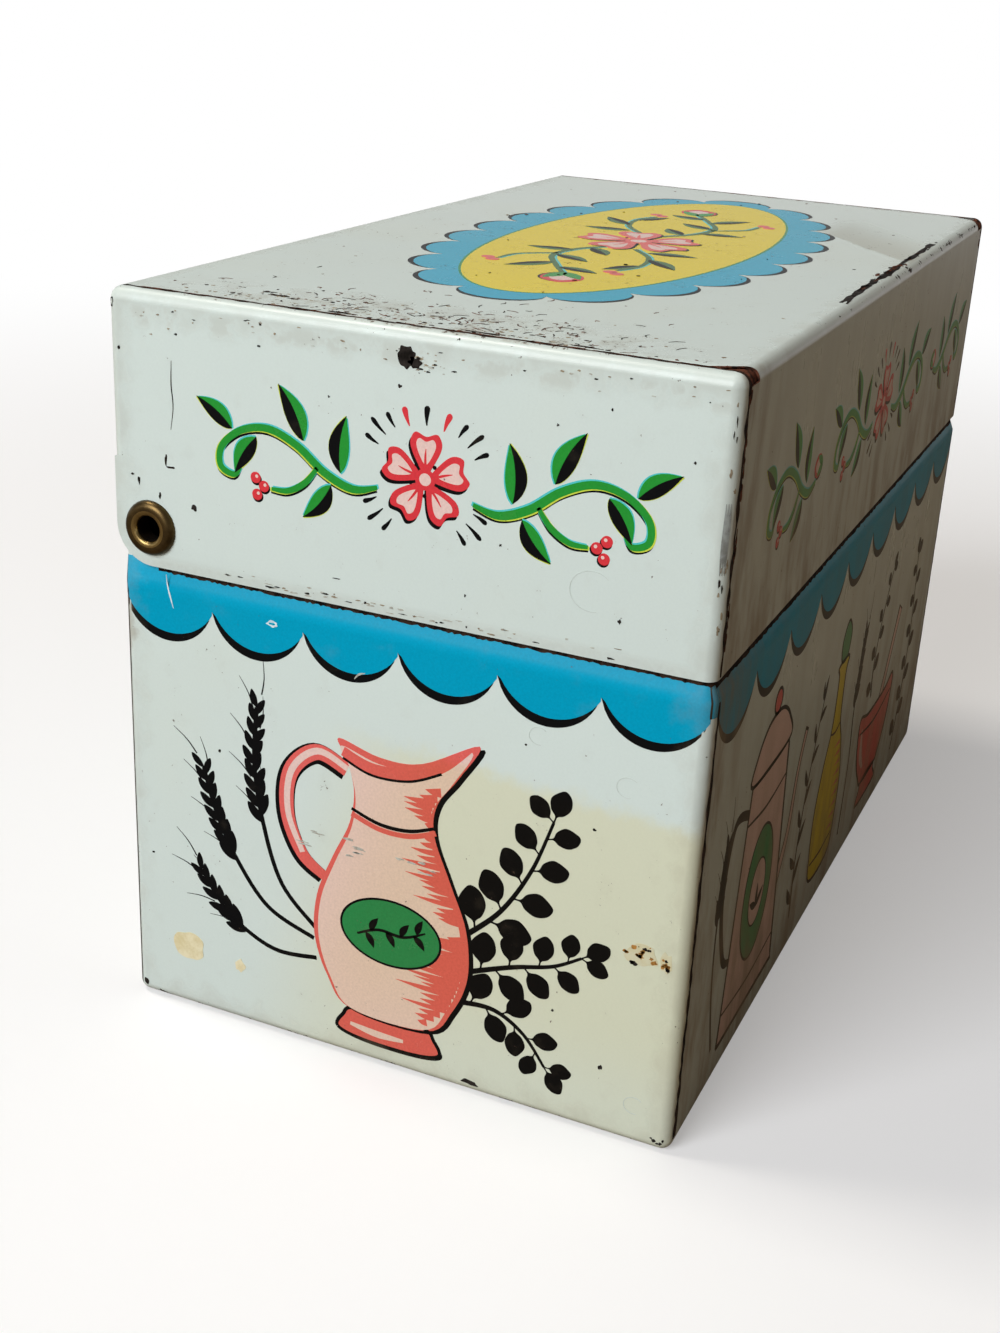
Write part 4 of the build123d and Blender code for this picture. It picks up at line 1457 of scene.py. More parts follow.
@dataclass
class Decoration:
    """Print on lid and body: generic folk garlands and a kitchen still life."""

    garland_at: Point = (3.2, 78.6)

    def build(self) -> list[bpy.types.Object]:
        """Print every panel."""
        stock = Ornaments()
        made = ScallopBand().build()
        top = Artwork()
        medal = Medallion()
        top.place(medal.artwork(stock), u=medal.centre[0], v=medal.centre[1])
        made.append(self._print("medallion_print", "lid", Face.TOP, top))

        spray = Artwork()
        spray.place(stock.blossom())
        spray.place(stock.sparks())
        spray.place(stock.garland())
        spray.place(stock.garland(), flip=True)
        u, v = self.garland_at
        for face, name, shift in ((Face.LID_NEAR, "near_end", u), (Face.LID_FAR, "far_end", 0.0)):
            art = Artwork()
            art.place(spray, u=shift, v=v)
            made.append(self._print(f"lid_garland_{name}", "lid", face, art))

        front = Artwork()
        front.place(spray, u=3.0, v=77.6)
        for flip, at in ((False, 33.0), (True, -27.0)):
            front.place(stock.garland(), u=at, v=77.2, flip=flip)
            bud = stock.bud(1.25)
            front.place(bud, u=at + (3.2 if not flip else -3.2), v=77.0, flip=flip)
        made.append(self._print("lid_garland_front", "lid", Face.LID_FRONT, front))

        still = Artwork()
        still.place(stock.pitcher())
        still.place(stock.wheat([(-10.6, 17.0), (-15.5, 22.0), (-18.2, 30.0), (-19.4, 38.0),
                                 (-19.0, 45.6)], 2, 17, 3))
        still.place(stock.wheat([(-10.8, 15.4), (-17.4, 18.0), (-22.0, 23.6), (-25.0, 29.6),
                                 (-26.8, 35.6)], 2, 15, 5))
        still.place(stock.wheat([(-10.4, 12.6), (-16.0, 12.0), (-20.6, 13.6), (-24.4, 16.6),
                                 (-27.4, 20.8)], 2, 12, 7))
        still.place(stock.leafy_sprig([(10.2, 22.0), (14.6, 26.6), (18.2, 33.0), (20.6, 40.0)],
                                      9, 1.3, 2))
        still.place(stock.leafy_sprig([(10.8, 17.0), (16.6, 19.4), (21.6, 21.0), (25.2, 23.2)],
                                      8, 1.2, 4))
        still.place(stock.leafy_sprig([(10.0, 12.4), (14.4, 12.6), (18.4, 10.4), (21.4, 6.6)],
                                      7, 1.15, 6))
        for face, name in ((Face.BODY_NEAR, "near_end"), (Face.BODY_FAR, "far_end")):
            art = Artwork()
            art.place(still, u=0.4, v=0.6)
            made.append(self._print(f"still_life_{name}", "body", face, art))

        shelf = Artwork()
        shelf.place(stock.coffee_pot(), u=-39.0, v=4.0, scale=1.12)
        shelf.place(stock.wheat([(-54.0, 6.0), (-56.6, 16.0), (-57.4, 26.0), (-56.0, 36.0)], 2,
                                17, 9))
        shelf.place(stock.leafy_sprig([(-17.0, 6.0), (-17.6, 16.0), (-15.6, 27.0), (-11.6, 38.0)],
                                      11, 1.0, 8, False))
        shelf.place(stock.cruet(), u=-1.0, v=6.0, scale=1.14)
        shelf.place(stock.wheat([(11.6, 6.0), (12.6, 18.0), (11.4, 28.0), (13.0, 40.0)], 2, 17,
                                12))
        shelf.place(stock.mortar(), u=30.0, v=5.0, scale=1.12)
        shelf.place(stock.leafy_sprig([(24.0, 25.0), (23.0, 31.0), (25.0, 38.0), (29.0, 45.0)],
                                      8, 0.9, 10))
        shelf.place(stock.leafy_sprig([(50.0, 5.0), (53.0, 16.0), (53.4, 28.0), (50.6, 41.0)],
                                      12, 1.05, 14))
        made.append(self._print("still_life_front", "body", Face.BODY_FRONT, shelf))
        return made

    @staticmethod
    def _print(name: str, body: str, face: Face, art: Artwork) -> bpy.types.Object:
        """Print artwork on a face."""
        return PrintedPiece(name, body, face.value.at, art).build()


# ---------------------------------------------------------------- folded tin
@dataclass
class TinSheet:
    """One folded sheet of the tin, printed outside and plain inside."""

    SKIN_DEPTH = 0.06      # a face less deep in the metal than this is enamelled,
    TURNED_IN = -0.25      # unless it looks inwards by more than this cosine
    NOTCH_REACH = 6.0      # cut edges this near to a seam are rusty

    node: str
    body: str

    def _skin(self, spot: Vector) -> tuple[Vector, float]:
        """Return the way out of the nearest fold axis and the fold's radius there."""
        x, y, z = spot
        radius, inset = TIN.bend, 0.0
        if self.body == "body":
            t = (z - TIN.shoulder_start) / (TIN.shoulder_end - TIN.shoulder_start)
            t = min(max(t, 0.0), 1.0)
            radius += (TIN.neck_bend - TIN.bend) * t
            inset = TIN.neck_inset * t
            front, back = TIN.body_front + inset, TIN.body_back
            low, high = TIN.bend, 1e3
        else:
            front, back, low, high = TIN.lid_front, TIN.lid_back, -1e3, TIN.height - TIN.bend
        half = TIN.half_length - inset - radius
        inner = Vector((min(max(x, -half), half),
                        min(max(y, front + radius), back - radius),
                        min(max(z, low), high)))
        return spot - inner, radius

    def _slot(self, spot: Vector, normal: Vector) -> int:
        """Choose enamel (0), bare tinplate (1) or rust (2) for a face."""
        out, radius = self._skin(spot)
        facing = normal.dot(out.normalized())
        if radius - out.length < self.SKIN_DEPTH and facing > self.TURNED_IN:
            return 0
        if "end" in self.node:
            return 2 if facing > 0.5 and abs(spot.x) < TIN.wrap_half + 0.15 else 1
        return 2 if abs(facing) < 0.5 and abs(spot.x) > TIN.wrap_half - self.NOTCH_REACH else 1

    def build(self) -> bpy.types.Object:
        """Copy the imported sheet, weld it, round its shading and give each side its finish."""
        name = f"{self.node}_sheet"
        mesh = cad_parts[self.node].data.copy()
        mesh.name = name
        mesh.materials.clear()
        for finish in (ENAMEL, TINPLATE, RUST):
            mesh.materials.append(FINISHES.get(finish))
        bm = bmesh.new()
        bm.from_mesh(mesh)
        bmesh.ops.remove_doubles(bm, verts=bm.verts, dist=2e-6)
        for face in bm.faces:
            face.material_index = self._slot(face.calc_center_median() / MM, face.normal)
            face.smooth = True
        bm.to_mesh(mesh)
        bm.free()
        mesh.set_sharp_from_angle(angle=math.radians(38))
        obj = put(name, mesh)
        flat = obj.modifiers.new("flat_faces_stay_flat", "WEIGHTED_NORMAL")
        flat.keep_sharp, flat.weight = True, 100
        return seat(obj, self.body, "printed_enamel", self.node)


@dataclass
class HingeEyelet:
    """Hollow brass eyelet: rolled head, open barrel and the end spread inside the neck."""

    side: int                      # -1 near end, +1 far end
    bore: float = 1.55             # radii
    barrel: float = 2.05
    head: float = 3.45
    crown_outer: float = 2.55
    crown_inner: float = 2.2
    crown: float = 0.9             # height of the rolled head
    clinch_outer: float = 2.8
    clinch_at: Point = (-1.53, -1.93)   # planes of the spread end, from the lid's face
    segments: int = 96

    def _profile(self) -> list[Point]:
        """Return (height above the lid's face, radius) once round the section."""
        ring = [(0.0, self.barrel), (0.0, self.head - 0.12), (0.05, self.head)]
        for i in range(1, 12):
            a = math.pi / 2 * i / 12
            ring.append((self.crown * math.sin(a) * 0.99 + 0.01,
                         self.crown_outer + (self.head - self.crown_outer) * math.cos(a)))
        ring += [(self.crown, self.crown_outer - 0.08), (self.crown, self.crown_inner + 0.08)]
        for i in range(1, 11):
            t = i / 11
            ring.append((self.crown * (1 - t ** 2.2),
                         self.bore + (self.crown_inner - self.bore) * (1 - t) ** 2.2))
        near, far = self.clinch_at
        ring += [(0.0, self.bore), (near, self.bore), (far + 0.1, self.bore + 0.12),
                 (far, self.barrel), (far, self.clinch_outer - 0.16),
                 (far + 0.08, self.clinch_outer - 0.04), (far + 0.2, self.clinch_outer),
                 (near, self.clinch_outer), (near, self.barrel)]
        return ring

    def build(self) -> bpy.types.Object:
        """Turn the section round the hinge axis."""
        end = "left" if self.side < 0 else "right"
        name = f"hinge_eyelet_{end}_turned"
        bm, rings, slots = bmesh.new(), [], []
        section = self._profile()
        for (h, r), (h_next, r_next) in zip(section, section[1:] + section[:1]):
            high, wide = (h + h_next) / 2, (r + r_next) / 2
            # the rolled lip takes the bright brass as a painted highlight, the bore the near-black
            # as painted shade
            lip = high > 0.45 * self.crown and wide < self.crown_inner + 0.15
            slots.append(1 if lip else 2 if wide < self.crown_inner - 0.1 and high < 0.5 else 0)
        for i in range(self.segments):
            a = math.tau * i / self.segments
            rings.append([bm.verts.new(Vector((
                self.side * (TIN.half_length + h),
                TIN.hinge_y + r * math.cos(a),
                TIN.hinge_z + r * math.sin(a),
            )) * MM) for h, r in section])
        n = len(rings[0])
        for i, ring in enumerate(rings):
            after = rings[(i + 1) % self.segments]
            for k in range(n):
                face = bm.faces.new((ring[k], ring[(k + 1) % n], after[(k + 1) % n], after[k]))
                face.material_index = slots[k]
        bmesh.ops.recalc_face_normals(bm, faces=bm.faces)
        mesh = bpy.data.meshes.new(name)
        for finish in (BRASS, BRASS_LIP_HIGHLIGHT, GREASE_AND_SHADE):
            mesh.materials.append(FINISHES.get(finish))
        bm.to_mesh(mesh)
        bm.free()
        mesh.shade_smooth()
        mesh.set_sharp_from_angle(angle=math.radians(50))
        return seat(put(name, mesh), "lid", "aged_brass", f"hinge_eyelet_{end}")


# ---------------------------------------------------------------- wear that has a place
class SeamSkin:
    """Outer face of the lid wrap, unrolled: u runs from the back edge over the top to the front.

    v is the distance along X from the middle of the box.
    """

    def __init__(self) -> None:
        """Work out where the folds begin."""
        self.rise = TIN.height - TIN.bend - TIN.lid_back_edge
        self.arc = math.pi / 2 * TIN.bend
        self.across = TIN.lid_back - TIN.lid_front - 2 * TIN.bend
        self.fall = TIN.height - TIN.bend - TIN.seam
        self.length = self.rise + self.across + self.fall + 2 * self.arc

    def at(self, u: float, v: float, lift: float) -> Vector:
        """Return the place, in metres, that lies lift above the sheet's point (u, v)."""
        top = TIN.height - TIN.bend
        r = TIN.bend + lift
        if u < self.rise:
            place = (TIN.lid_back + lift, TIN.lid_back_edge + u)
        elif u < self.rise + self.arc:
            a = (u - self.rise) / TIN.bend
            place = (TIN.lid_back - TIN.bend + r * math.cos(a), top + r * math.sin(a))
        elif u < self.rise + self.arc + self.across:
            place = (TIN.lid_back - TIN.bend - (u - self.rise - self.arc), TIN.height + lift)
        elif u < self.rise + 2 * self.arc + self.across:
            a = (u - self.rise - self.arc - self.across) / TIN.bend
            place = (TIN.lid_front + TIN.bend - r * math.sin(a), top + r * math.cos(a))
        else:
            down = u - self.rise - 2 * self.arc - self.across
            place = (TIN.lid_front - lift, top - down)
        return Vector((v, *place)) * MM


@dataclass
class Wear:
    """Dirt and painted shade in the seams, chips, scratches and stains that the photograph shows.
    """

    def _wander(self, start: Point, end: Point, width: float, seed: int,
                pace: float = 1.3) -> Flat:
        """Draw an uneven dark line between two points, thin and thick by turns."""
        dice = random.Random(seed)
        count = max(int(math.dist(start, end) / pace), 3)
        du, dv = end[0] - start[0], end[1] - start[1]
        size = math.hypot(du, dv)
        points = []
        for i in range(count + 1):
            t = i / count
            side = dice.uniform(-0.16, 0.16) * width
            points.append((start[0] + du * t - dv / size * side,
                           start[1] + dv * t + du / size * side,
                           width * dice.uniform(0.5, 1.35)))
        return stroke(points, 4)

    def _seams(self) -> list[bpy.types.Object]:
        """Lay dirt in the four seams between wraps and end panels; wide lines add painted shade."""
        skin, made = SeamSkin(), []
        art = Artwork()
        fold = skin.rise + skin.arc
        for side in (-1, 1):
            at = side * TIN.wrap_half
            art.lay(SEAM_DIRT_AND_SHADE, self._wander((0.3, at), (fold, at), 0.26, 3 + side), 0)
            # the wide lines on the near side are painted shade of the seam's groove as well as dirt
            art.lay(SEAM_DIRT_AND_SHADE, self._wander((fold, at), (fold + skin.across, at),
                                            0.62 if side < 0 else 0.34, 7 + side), 0)
            art.lay(SEAM_DIRT_AND_SHADE, self._wander((fold + skin.across, at), (skin.length - 0.2, at),
                                            0.9 if side < 0 else 0.36, 11 + side), 0)
            # rust creeping from the seam over the top, in short ragged tongues
            dice = random.Random(40 + side)
            for _ in range(26 if side < 0 else 8):
                u = fold + skin.across + dice.uniform(1.0, skin.fall)
                art.lay(RUST, splash(u, at - side * dice.uniform(0.3, 0.7), dice.uniform(0.4, 2.0),
                                     dice.uniform(0.2, 0.8), dice.randrange(9999), 0.4, 9), 1)
            for _ in range(46 if side < 0 else 16):
                u = fold + dice.uniform(2.0, skin.across - 2.0)
                run, wide = dice.uniform(0.8, 3.6), dice.uniform(0.2, 0.55)
                art.lay(RUST, splash(u, at - side * (0.1 + wide * 0.4), run, wide,
                                     dice.randrange(9999), 0.4, 9), 1)
        made.append(PrintedPiece("lid_seam_dirt", "lid", skin.at, art).build())
        for face, name in ((Face.BODY_FRONT, "front"), (Face.BODY_BACK, "back")):
            art = Artwork()
            for side in (-1, 1):
                at = side * TIN.wrap_half
                # the wide line at u = -wrap_half is painted shade of the seam's groove as well as
                # dirt
                art.lay(SEAM_DIRT_AND_SHADE, self._wander((at, 1.7), (at, TIN.shoulder_start - 0.3),
                                                0.85 if side < 0 else 0.3, 21 + side), 9)
            made.append(PrintedPiece(f"body_seam_dirt_{name}", "body", face.value.at,
                                     art).build())
        return made

    @staticmethod
    def _chips(art: Artwork, chips: Iterable[tuple[float, float, float, float, int]],
               ragged: float, layer: float) -> None:
        """Lay placed chips, each given as (u, v, width, height, seed)."""
        for u, v, wide, high, seed in chips:
            art.lay(CHIP, splash(u, v, wide, high, seed, ragged, 9), layer)

    @staticmethod
    def _ring(u: float, v: float, radius: float) -> Flat:
        """Draw the thin ring that a dried drop leaves."""
        return stroke([(u + radius * math.cos(a), v + radius * math.sin(a) * 0.9, 0.07)
                       for a in (math.tau * i / 24 for i in range(3, 20))], 1)

    def _near_lid_end(self) -> Artwork:
        """Marks on the lid's near end; u is -y."""
        art = Artwork()
        art.lay(CHIP, splash(0.5, 91.9, 2.1, 2.5, 8, 0.14, 17), 7)
        art.lay(CHIP, splash(1.6, 91.4, 1.7, 1.2, 9, 0.3, 17), 7)
        dice = random.Random(19)
        for _ in range(26):
            u, size = 1.4 + abs(dice.gauss(0, 2.2)), dice.uniform(0.12, 0.5)
            art.lay(dice.choice((STAIN, SCUFF, CHIP)),
                    splash(u, 91.4 + dice.gauss(0, 0.5), size * 1.5, size * 0.6,
                           dice.randrange(9999), 0.45, 9), 6)
        art.lay(CHIP, splash(-0.2, 88.6, 0.42, 0.42, 2), 7)
        art.lay(CHIP, splash(-38.0, 93.2, 0.9, 1.2, 12), 7)
        art.lay(SEAM_DIRT_AND_SHADE, stroke([(-29.7, 87.4, 0.04), (-29.8, 84.6, 0.13), (-29.6, 82.0, 0.1),
                                   (-30.0, 79.2, 0.04)]), 7)
        self._chips(art, (
            (-30.8, 75.4, 0.35, 1.2, 1), (-30.2, 74.6, 0.9, 0.3, 2), (-34.7, 72.3, 0.4, 0.9, 3),
            (-35.6, 73.0, 0.5, 0.25, 4), (-27.0, 70.1, 0.6, 0.7, 5), (-31.8, 70.9, 0.3, 0.8, 6),
            (27.0, 66.6, 0.5, 0.6, 7), (12.6, 72.7, 0.3, 0.3, 8), (18.5, 87.1, 0.3, 0.3, 9),
            (-36.9, 88.0, 0.3, 0.5, 10), (33.8, 85.4, 0.3, 0.3, 11), (24.4, 89.6, 0.25, 0.3, 12),
            (-18.0, 90.6, 0.5, 0.22, 13), (8.6, 66.0, 0.24, 0.3, 14), (-9.0, 86.2, 0.22, 0.28, 15),
        ), 0.4, 7)
        # scuffs and specks strung along the lower edge
        dice = random.Random(77)
        for _ in range(54):
            u = dice.triangular(-30, 36, -12)
            v = TIN.seam + 0.35 + abs(dice.gauss(0, 0.7))
            art.lay(dice.choice((SCUFF, SCUFF, STAIN, CHIP)),
                    splash(u, v, dice.uniform(0.2, 1.1), dice.uniform(0.1, 0.24),
                           dice.randrange(9999), 0.4, 9), 6)
        for _ in range(44):
            u = dice.uniform(-36, 37)
            art.lay(dice.choice((STAIN, CHIP, SCUFF)),
                    splash(u, TIN.height - TIN.bend - abs(dice.gauss(0.1, 1.3)),
                           dice.uniform(0.15, 0.6), dice.uniform(0.1, 0.22),
                           dice.randrange(9999), 0.4, 9), 6)
        art.lay(RING, self._ring(23.6, 69.4, 2.6), 5)
        # rubbing down the fold beside the front
        for u in (37.5, 37.75, 38.0):
            art.lay(RUB, stroke([(u, 81.6, 0.06), (u + 0.04, 80.0, 0.26), (u, 76.5, 0.3),
                                 (u, 73.8, 0.06)], 6), 6)
        for _ in range(16):
            v = dice.uniform(64, 92)
            art.lay(dice.choice((STAIN, CHIP)),
                    splash(38.0 + dice.uniform(-0.5, 0.3), v, dice.uniform(0.12, 0.3),
                           dice.uniform(0.3, 1.4), dice.randrange(9999), 0.4, 9), 6)
        return art

    def _near_body_end(self) -> Artwork:
        """Marks on the body's near end; u is -y."""
        art = Artwork()
        art.lay(WHITE_CUT, stroke([(-31.2, 61.0, 0.05), (-31.05, 59.6, 0.17), (-30.7, 58.2, 0.2),
                                   (-30.3, 56.8, 0.07)]), 9)
        art.lay(WHITE_CUT, splash(-16.4, 57.6, 1.5, 0.8, 3, 0.22), 9)
        art.lay(Ink.BLUE, splash(-16.3, 57.6, 0.9, 0.34, 4, 0.3), 10)
        art.lay(SCUFF, stroke([(-5.2, 52.9, 0.1), (-4.6, 53.6, 0.25), (-3.8, 53.9, 0.1)]), 9)
        art.lay(PASTE, splash(-29.2, 9.2, 4.6, 4.4, 21, 0.16), 6)
        art.lay(PASTE, splash(-21.4, 8.6, 1.5, 1.8, 22, 0.16), 6)
        for u, v, radius in ((29.6, 47.2, 1.4), (18.5, 51.0, 1.2), (33.6, 5.6, 1.3)):
            art.lay(RING, self._ring(u, v, radius), 6)
        dice = random.Random(60)
        art.lay(HALO, splash(33.0, 26.4, 4.0, 3.0, 90, 0.22), 6)
        art.lay(HALO, splash(36.0, 26.2, 1.5, 2.6, 91, 0.25), 6)
        for u, v, count, wide, high in ((32.6, 26.4, 22, 1.1, 0.8), (36.0, 26.0, 9, 0.35, 0.8)):
            for _ in range(count):
                size = dice.uniform(0.15, 0.8)
                art.lay(dice.choice((BLOOM, BLOOM, CHIP)),
                        splash(u + dice.gauss(0, wide) * 0.8, v + dice.gauss(0, high) * 0.8, size,
                               size * 0.8, dice.randrange(9999), 0.4, 9), 7)
        self._chips(art, (
            (-36.2, 1.7, 1.1, 0.9, 31), (12.1, 1.6, 2.3, 0.7, 32), (29.0, 9.6, 0.5, 0.6, 33),
            (36.5, 1.5, 0.5, 0.4, 34), (36.9, 1.2, 0.5, 0.3, 44), (36.1, 1.8, 0.4, 0.25, 45),
            (37.3, 1.3, 0.4, 0.4, 46), (37.6, 1.7, 0.3, 0.5, 47),
            (22.4, 15.6, 0.3, 0.3, 35), (-24.0, 39.0, 0.3, 0.4, 36),
            (26.0, 41.0, 0.4, 0.3, 37), (-34.4, 22.0, 0.4, 0.3, 38), (17.0, 49.6, 0.3, 0.3, 39),
        ), 0.38, 8)
        dice = random.Random(91)
        for _ in range(16):
            art.lay(SCUFF, splash(dice.uniform(-14, 8), dice.uniform(29.0, 31.5),
                                  dice.uniform(0.5, 1.8), dice.uniform(0.12, 0.3),
                                  dice.randrange(9999), 0.45, 9), 19)
        return art

    def _top(self) -> Artwork:
        """Marks on the lid's top; u is x, v is y."""
        art, dice = Artwork(), random.Random(123)
        # worn, rusty crumbs beside the near seam, thickest in the back half
        for _ in range(150):
            u = -66.3 + abs(dice.gauss(0, 4.6))
            v = dice.triangular(-34, 36, 10)
            size = dice.uniform(0.12, 0.6)
            art.lay(dice.choice((RUST, SEAM_DIRT_AND_SHADE, STAIN, STAIN)),
                    splash(u, v, size * dice.uniform(0.6, 1.0), size, dice.randrange(9999),
                           0.45, 8), 6)
        for u, v, wide, high in ((-61.6, 19.6, 0.9, 2.6), (-60.4, 21.4, 0.6, 1.6),
                                 (-62.2, 17.2, 0.5, 1.2), (-65.7, 9.0, 0.6, 3.2),
                                 (-65.8, -8.0, 0.6, 4.4), (-65.6, -20.0, 0.5, 3.6)):
            art.lay(SEAM_DIRT_AND_SHADE, splash(u, v, wide, high, int(-u * 10), 0.5, 15), 7)
        # single crumbs all over, print included
        for _ in range(46):
            u, v, size = dice.uniform(-64, 64), dice.uniform(-35, 35), dice.uniform(0.2, 0.6)
            printed = math.hypot((u - 4.6) / 53, v / 26) < 1
            art.lay(dice.choice((STAIN, RUST, CHIP)),
                    splash(u, v, size, size * 0.8, dice.randrange(9999), 0.4, 8),
                    18 if printed else 1)
        for _ in range(110):
            u, v = -66.0 + abs(dice.gauss(0, 9.0)), dice.triangular(-35, 34, -6)
            turn, run = dice.uniform(0, 180), dice.uniform(0.5, 1.9)
            art.lay(dice.choice((RUST, SEAM_DIRT_AND_SHADE)),
                    stroke([(0, 0, 0.05), (run / 2, dice.uniform(-0.4, 0.4), 0.16),
                            (run, 0, 0.05)], 3).moved(u=u, v=v, turn=turn), 5)
        # front edge: enamel knocked off in black flakes towards the far end
        fold = -LID_U[1]
        art.lay(CHIP, self._wander((-23.0, fold + 0.1), (33.0, fold + 0.2), 0.8, 55, 2.1), 7)
        for _ in range(46):
            u = dice.triangular(-26, 42, 4)
            art.lay(dice.choice((CHIP, CHIP, RUST)),
                    splash(u, fold + dice.gauss(0.1, 0.3), dice.uniform(0.6, 4.6),
                           dice.uniform(0.2, 0.75), dice.randrange(9999), 0.45, 11), 7)
        return art

    def build(self) -> list[bpy.types.Object]:
        """Lay all placed wear."""
        made = self._seams()
        for name, body, face, art in (
            ("lid_near_end_marks", "lid", Face.LID_NEAR, self._near_lid_end()),
            ("body_near_end_marks", "body", Face.BODY_NEAR, self._near_body_end()),
            ("lid_top_marks", "lid", Face.TOP, self._top()),
        ):
            made.append(PrintedPiece(name, body, face.value.at, art).build())
        return made


# ---------------------------------------------------------------- studio
@dataclass(frozen=True)
class Lamp:
    """Soft rectangular lamp aimed at the middle of the box; places in metres."""

    name: str
    place: tuple[float, float, float]
    size: float
    watts: float
    tint: str = "#FFFFFF"

    def build(self) -> None:
        """Hang the lamp."""
        data = bpy.data.lights.new(self.name, "AREA")
        data.size, data.energy = self.size, self.watts
        data.color = linear(self.tint)[:3]
        obj = put(self.name, data)
        obj.location = self.place
        aim = Vector((0.0, 0.0, 0.05)) - Vector(self.place)
        obj.rotation_euler = aim.to_track_quat("-Z", "Y").to_euler()


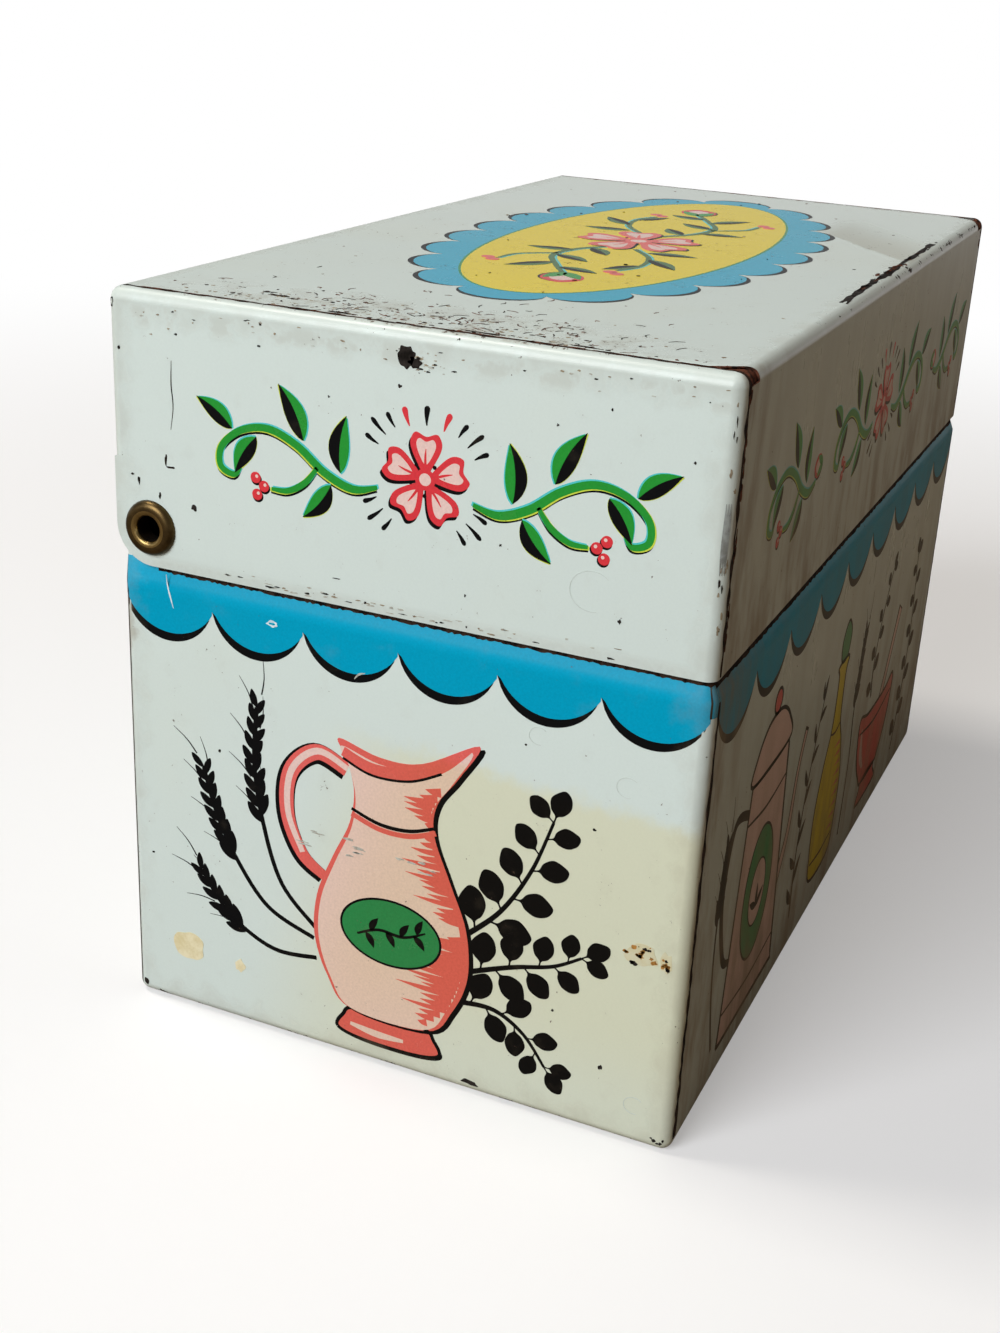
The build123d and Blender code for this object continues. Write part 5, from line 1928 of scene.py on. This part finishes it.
@dataclass
class Studio:
    """Pale floor, soft lamps, white surroundings and the photograph's camera."""

    image_height: int = 1333
    focal_px: float = 1736.0
    sensor: float = 36.0
    azimuth: float = -66.96
    elevation: float = 22.67
    roll: float = 2.93
    place: tuple[float, float, float] = (-234.3, -83.8, 133.7)
    floor_size: float = 6.0
    ambient: float = 0.09
    room: float = 0.28             # what reflections show high up
    sweep: Point = (0.0, 0.22)    # over which the white backdrop gives way to the room
    lift: float = 0.35             # how far the floor near the box is lit up for the eye
    fade: Point = (0.14, 0.50)     # metres from the box over which the floor turns white
    mirror_fade: Point = (0.4, 1.5)    # the same in reflections
    lamps: tuple[Lamp, ...] = (
        Lamp("key_softbox", (-1.15, 0.37, 0.72), 0.8, 19.0, "#F9FBFF"),
        Lamp("top_softbox", (-0.1, 0.62, 1.35), 0.34, 9.0, "#FFF8EE"),
        Lamp("front_fill", (0.5, -1.5, 0.6), 1.0, 1.0, "#FFC896"),
    )

    def _camera(self) -> None:
        """Set up the camera that the photograph was taken with."""
        data = bpy.data.cameras.new("camera")
        data.sensor_fit = "VERTICAL"
        data.sensor_width = data.sensor_height = self.sensor
        data.lens = self.focal_px / self.image_height * self.sensor
        data.clip_start, data.clip_end = 0.005, 50.0
        a, e = math.radians(self.azimuth), math.radians(self.elevation)
        back = Vector((math.sin(a) * math.cos(e), -math.cos(a) * math.cos(e), math.sin(e)))
        right = (-back).cross(Vector((0, 0, 1))).normalized()
        up = right.cross(-back)
        r = math.radians(self.roll)
        axes = (right * math.cos(r) + up * math.sin(r),
                up * math.cos(r) - right * math.sin(r), back)
        obj = put("camera", data)
        turn = Matrix(axes).transposed().to_4x4()
        obj.matrix_world = Matrix.Translation(Vector(self.place) * MM) @ turn
        bpy.context.scene.camera = obj

    @staticmethod
    def _rays(tree: bpy.types.NodeTree) -> tuple[Any, Any]:
        """Return the Light Path node, and whether the eye looks, also through glass."""
        path = add(tree, "ShaderNodeLightPath", out=None)
        return path, add(tree, "ShaderNodeMath", (path.outputs["Is Camera Ray"],
                                                  path.outputs["Is Transmission Ray"]),
                         operation="MAXIMUM")

    def _surroundings(self) -> None:
        """White to look at, white low down and a dim room above in reflections, grey as light."""
        world = bpy.data.worlds.new("surroundings")
        bpy.context.scene.world = world
        world.use_nodes = True
        tree = world.node_tree
        tree.nodes.clear()
        way = add(tree, "ShaderNodeSeparateXYZ", (add(tree, "ShaderNodeTexCoord"),), out="Z")
        room = add(tree, "ShaderNodeMapRange", (way, *self.sweep, 1.0, self.room))
        path, seen = self._rays(tree)
        strength = add(tree, "ShaderNodeMix",
                       {0: path.outputs["Is Glossy Ray"], 2: self.ambient, 3: room})
        strength = add(tree, "ShaderNodeMix", {0: seen, 2: strength, 3: 1.0})
        tone = add(tree, "ShaderNodeMix",
                   {0: path.outputs["Is Diffuse Ray"], 6: linear("#FFFFFF"),
                    7: linear("#FFEBD6")}, out=2, data_type="RGBA")
        glow = add(tree, "ShaderNodeBackground", {"Color": tone, "Strength": strength})
        add(tree, "ShaderNodeOutputWorld", (glow,), out=None)

    def _floor(self) -> None:
        """Pale floor that keeps the box's shadow and turns white further out."""
        mesh = bpy.data.meshes.new("floor")
        h = self.floor_size / 2
        mesh.from_pydata([(-h, -h, 0), (h, -h, 0), (h, h, 0), (-h, h, 0)], [], [(0, 1, 2, 3)])
        mat, tree = blank_material("floor_paper")
        spot = add(tree, "ShaderNodeTexCoord", out="Object")
        reach = add(tree, "ShaderNodeVectorMath", (spot,), out="Value", operation="LENGTH")
        path, eye = self._rays(tree)
        near = add(tree, "ShaderNodeMath", (eye, self.lift), operation="MULTIPLY")
        seen = add(tree, "ShaderNodeMapRange", (reach, *self.fade, near, 1.0),
                   interpolation_type="SMOOTHSTEP")
        seen = add(tree, "ShaderNodeMath", (seen, eye), operation="MULTIPLY")
        mirrored = add(tree, "ShaderNodeMapRange", (reach, *self.mirror_fade, 0.0, 1.0),
                       interpolation_type="SMOOTHSTEP")
        share = add(tree, "ShaderNodeMath", (mirrored, path.outputs["Is Glossy Ray"], seen),
                    operation="MULTIPLY_ADD", use_clamp=True)
        tone = add(tree, "ShaderNodeMix",
                   {0: eye, 6: (0.27, 0.22, 0.16, 1.0), 7: (0.93, 0.93, 0.93, 1.0)}, out=2,
                   data_type="RGBA")
        paper = add(tree, "ShaderNodeBsdfDiffuse", {"Color": tone})
        white = add(tree, "ShaderNodeEmission", {"Strength": 1.0})
        mixed = add(tree, "ShaderNodeMixShader", (share, paper, white))
        add(tree, "ShaderNodeOutputMaterial", (mixed,), out=None)
        mesh.materials.append(mat)
        put("floor", mesh)

    def build(self) -> None:
        """Set up camera, floor, surroundings and lamps."""
        self._camera()
        self._surroundings()
        self._floor()
        for lamp in self.lamps:
            lamp.build()
        bpy.context.scene.view_settings.view_transform = "Standard"


def main() -> None:
    """Build the box in order: studio, tin, hinge, print, wear."""
    logging.basicConfig(level=logging.INFO, format="%(name)s: %(message)s")
    Studio().build()
    for node, body in (
        ("body_wrap", "body"), ("body_end_left", "body"), ("body_end_right", "body"),
        ("lid_wrap", "lid"), ("lid_end_left", "lid"), ("lid_end_right", "lid"),
    ):
        TinSheet(node, body).build()
    for side in (-1, 1):
        HingeEyelet(side).build()
    Decoration().build()
    Wear().build()


if __name__ == "__main__":
    main()
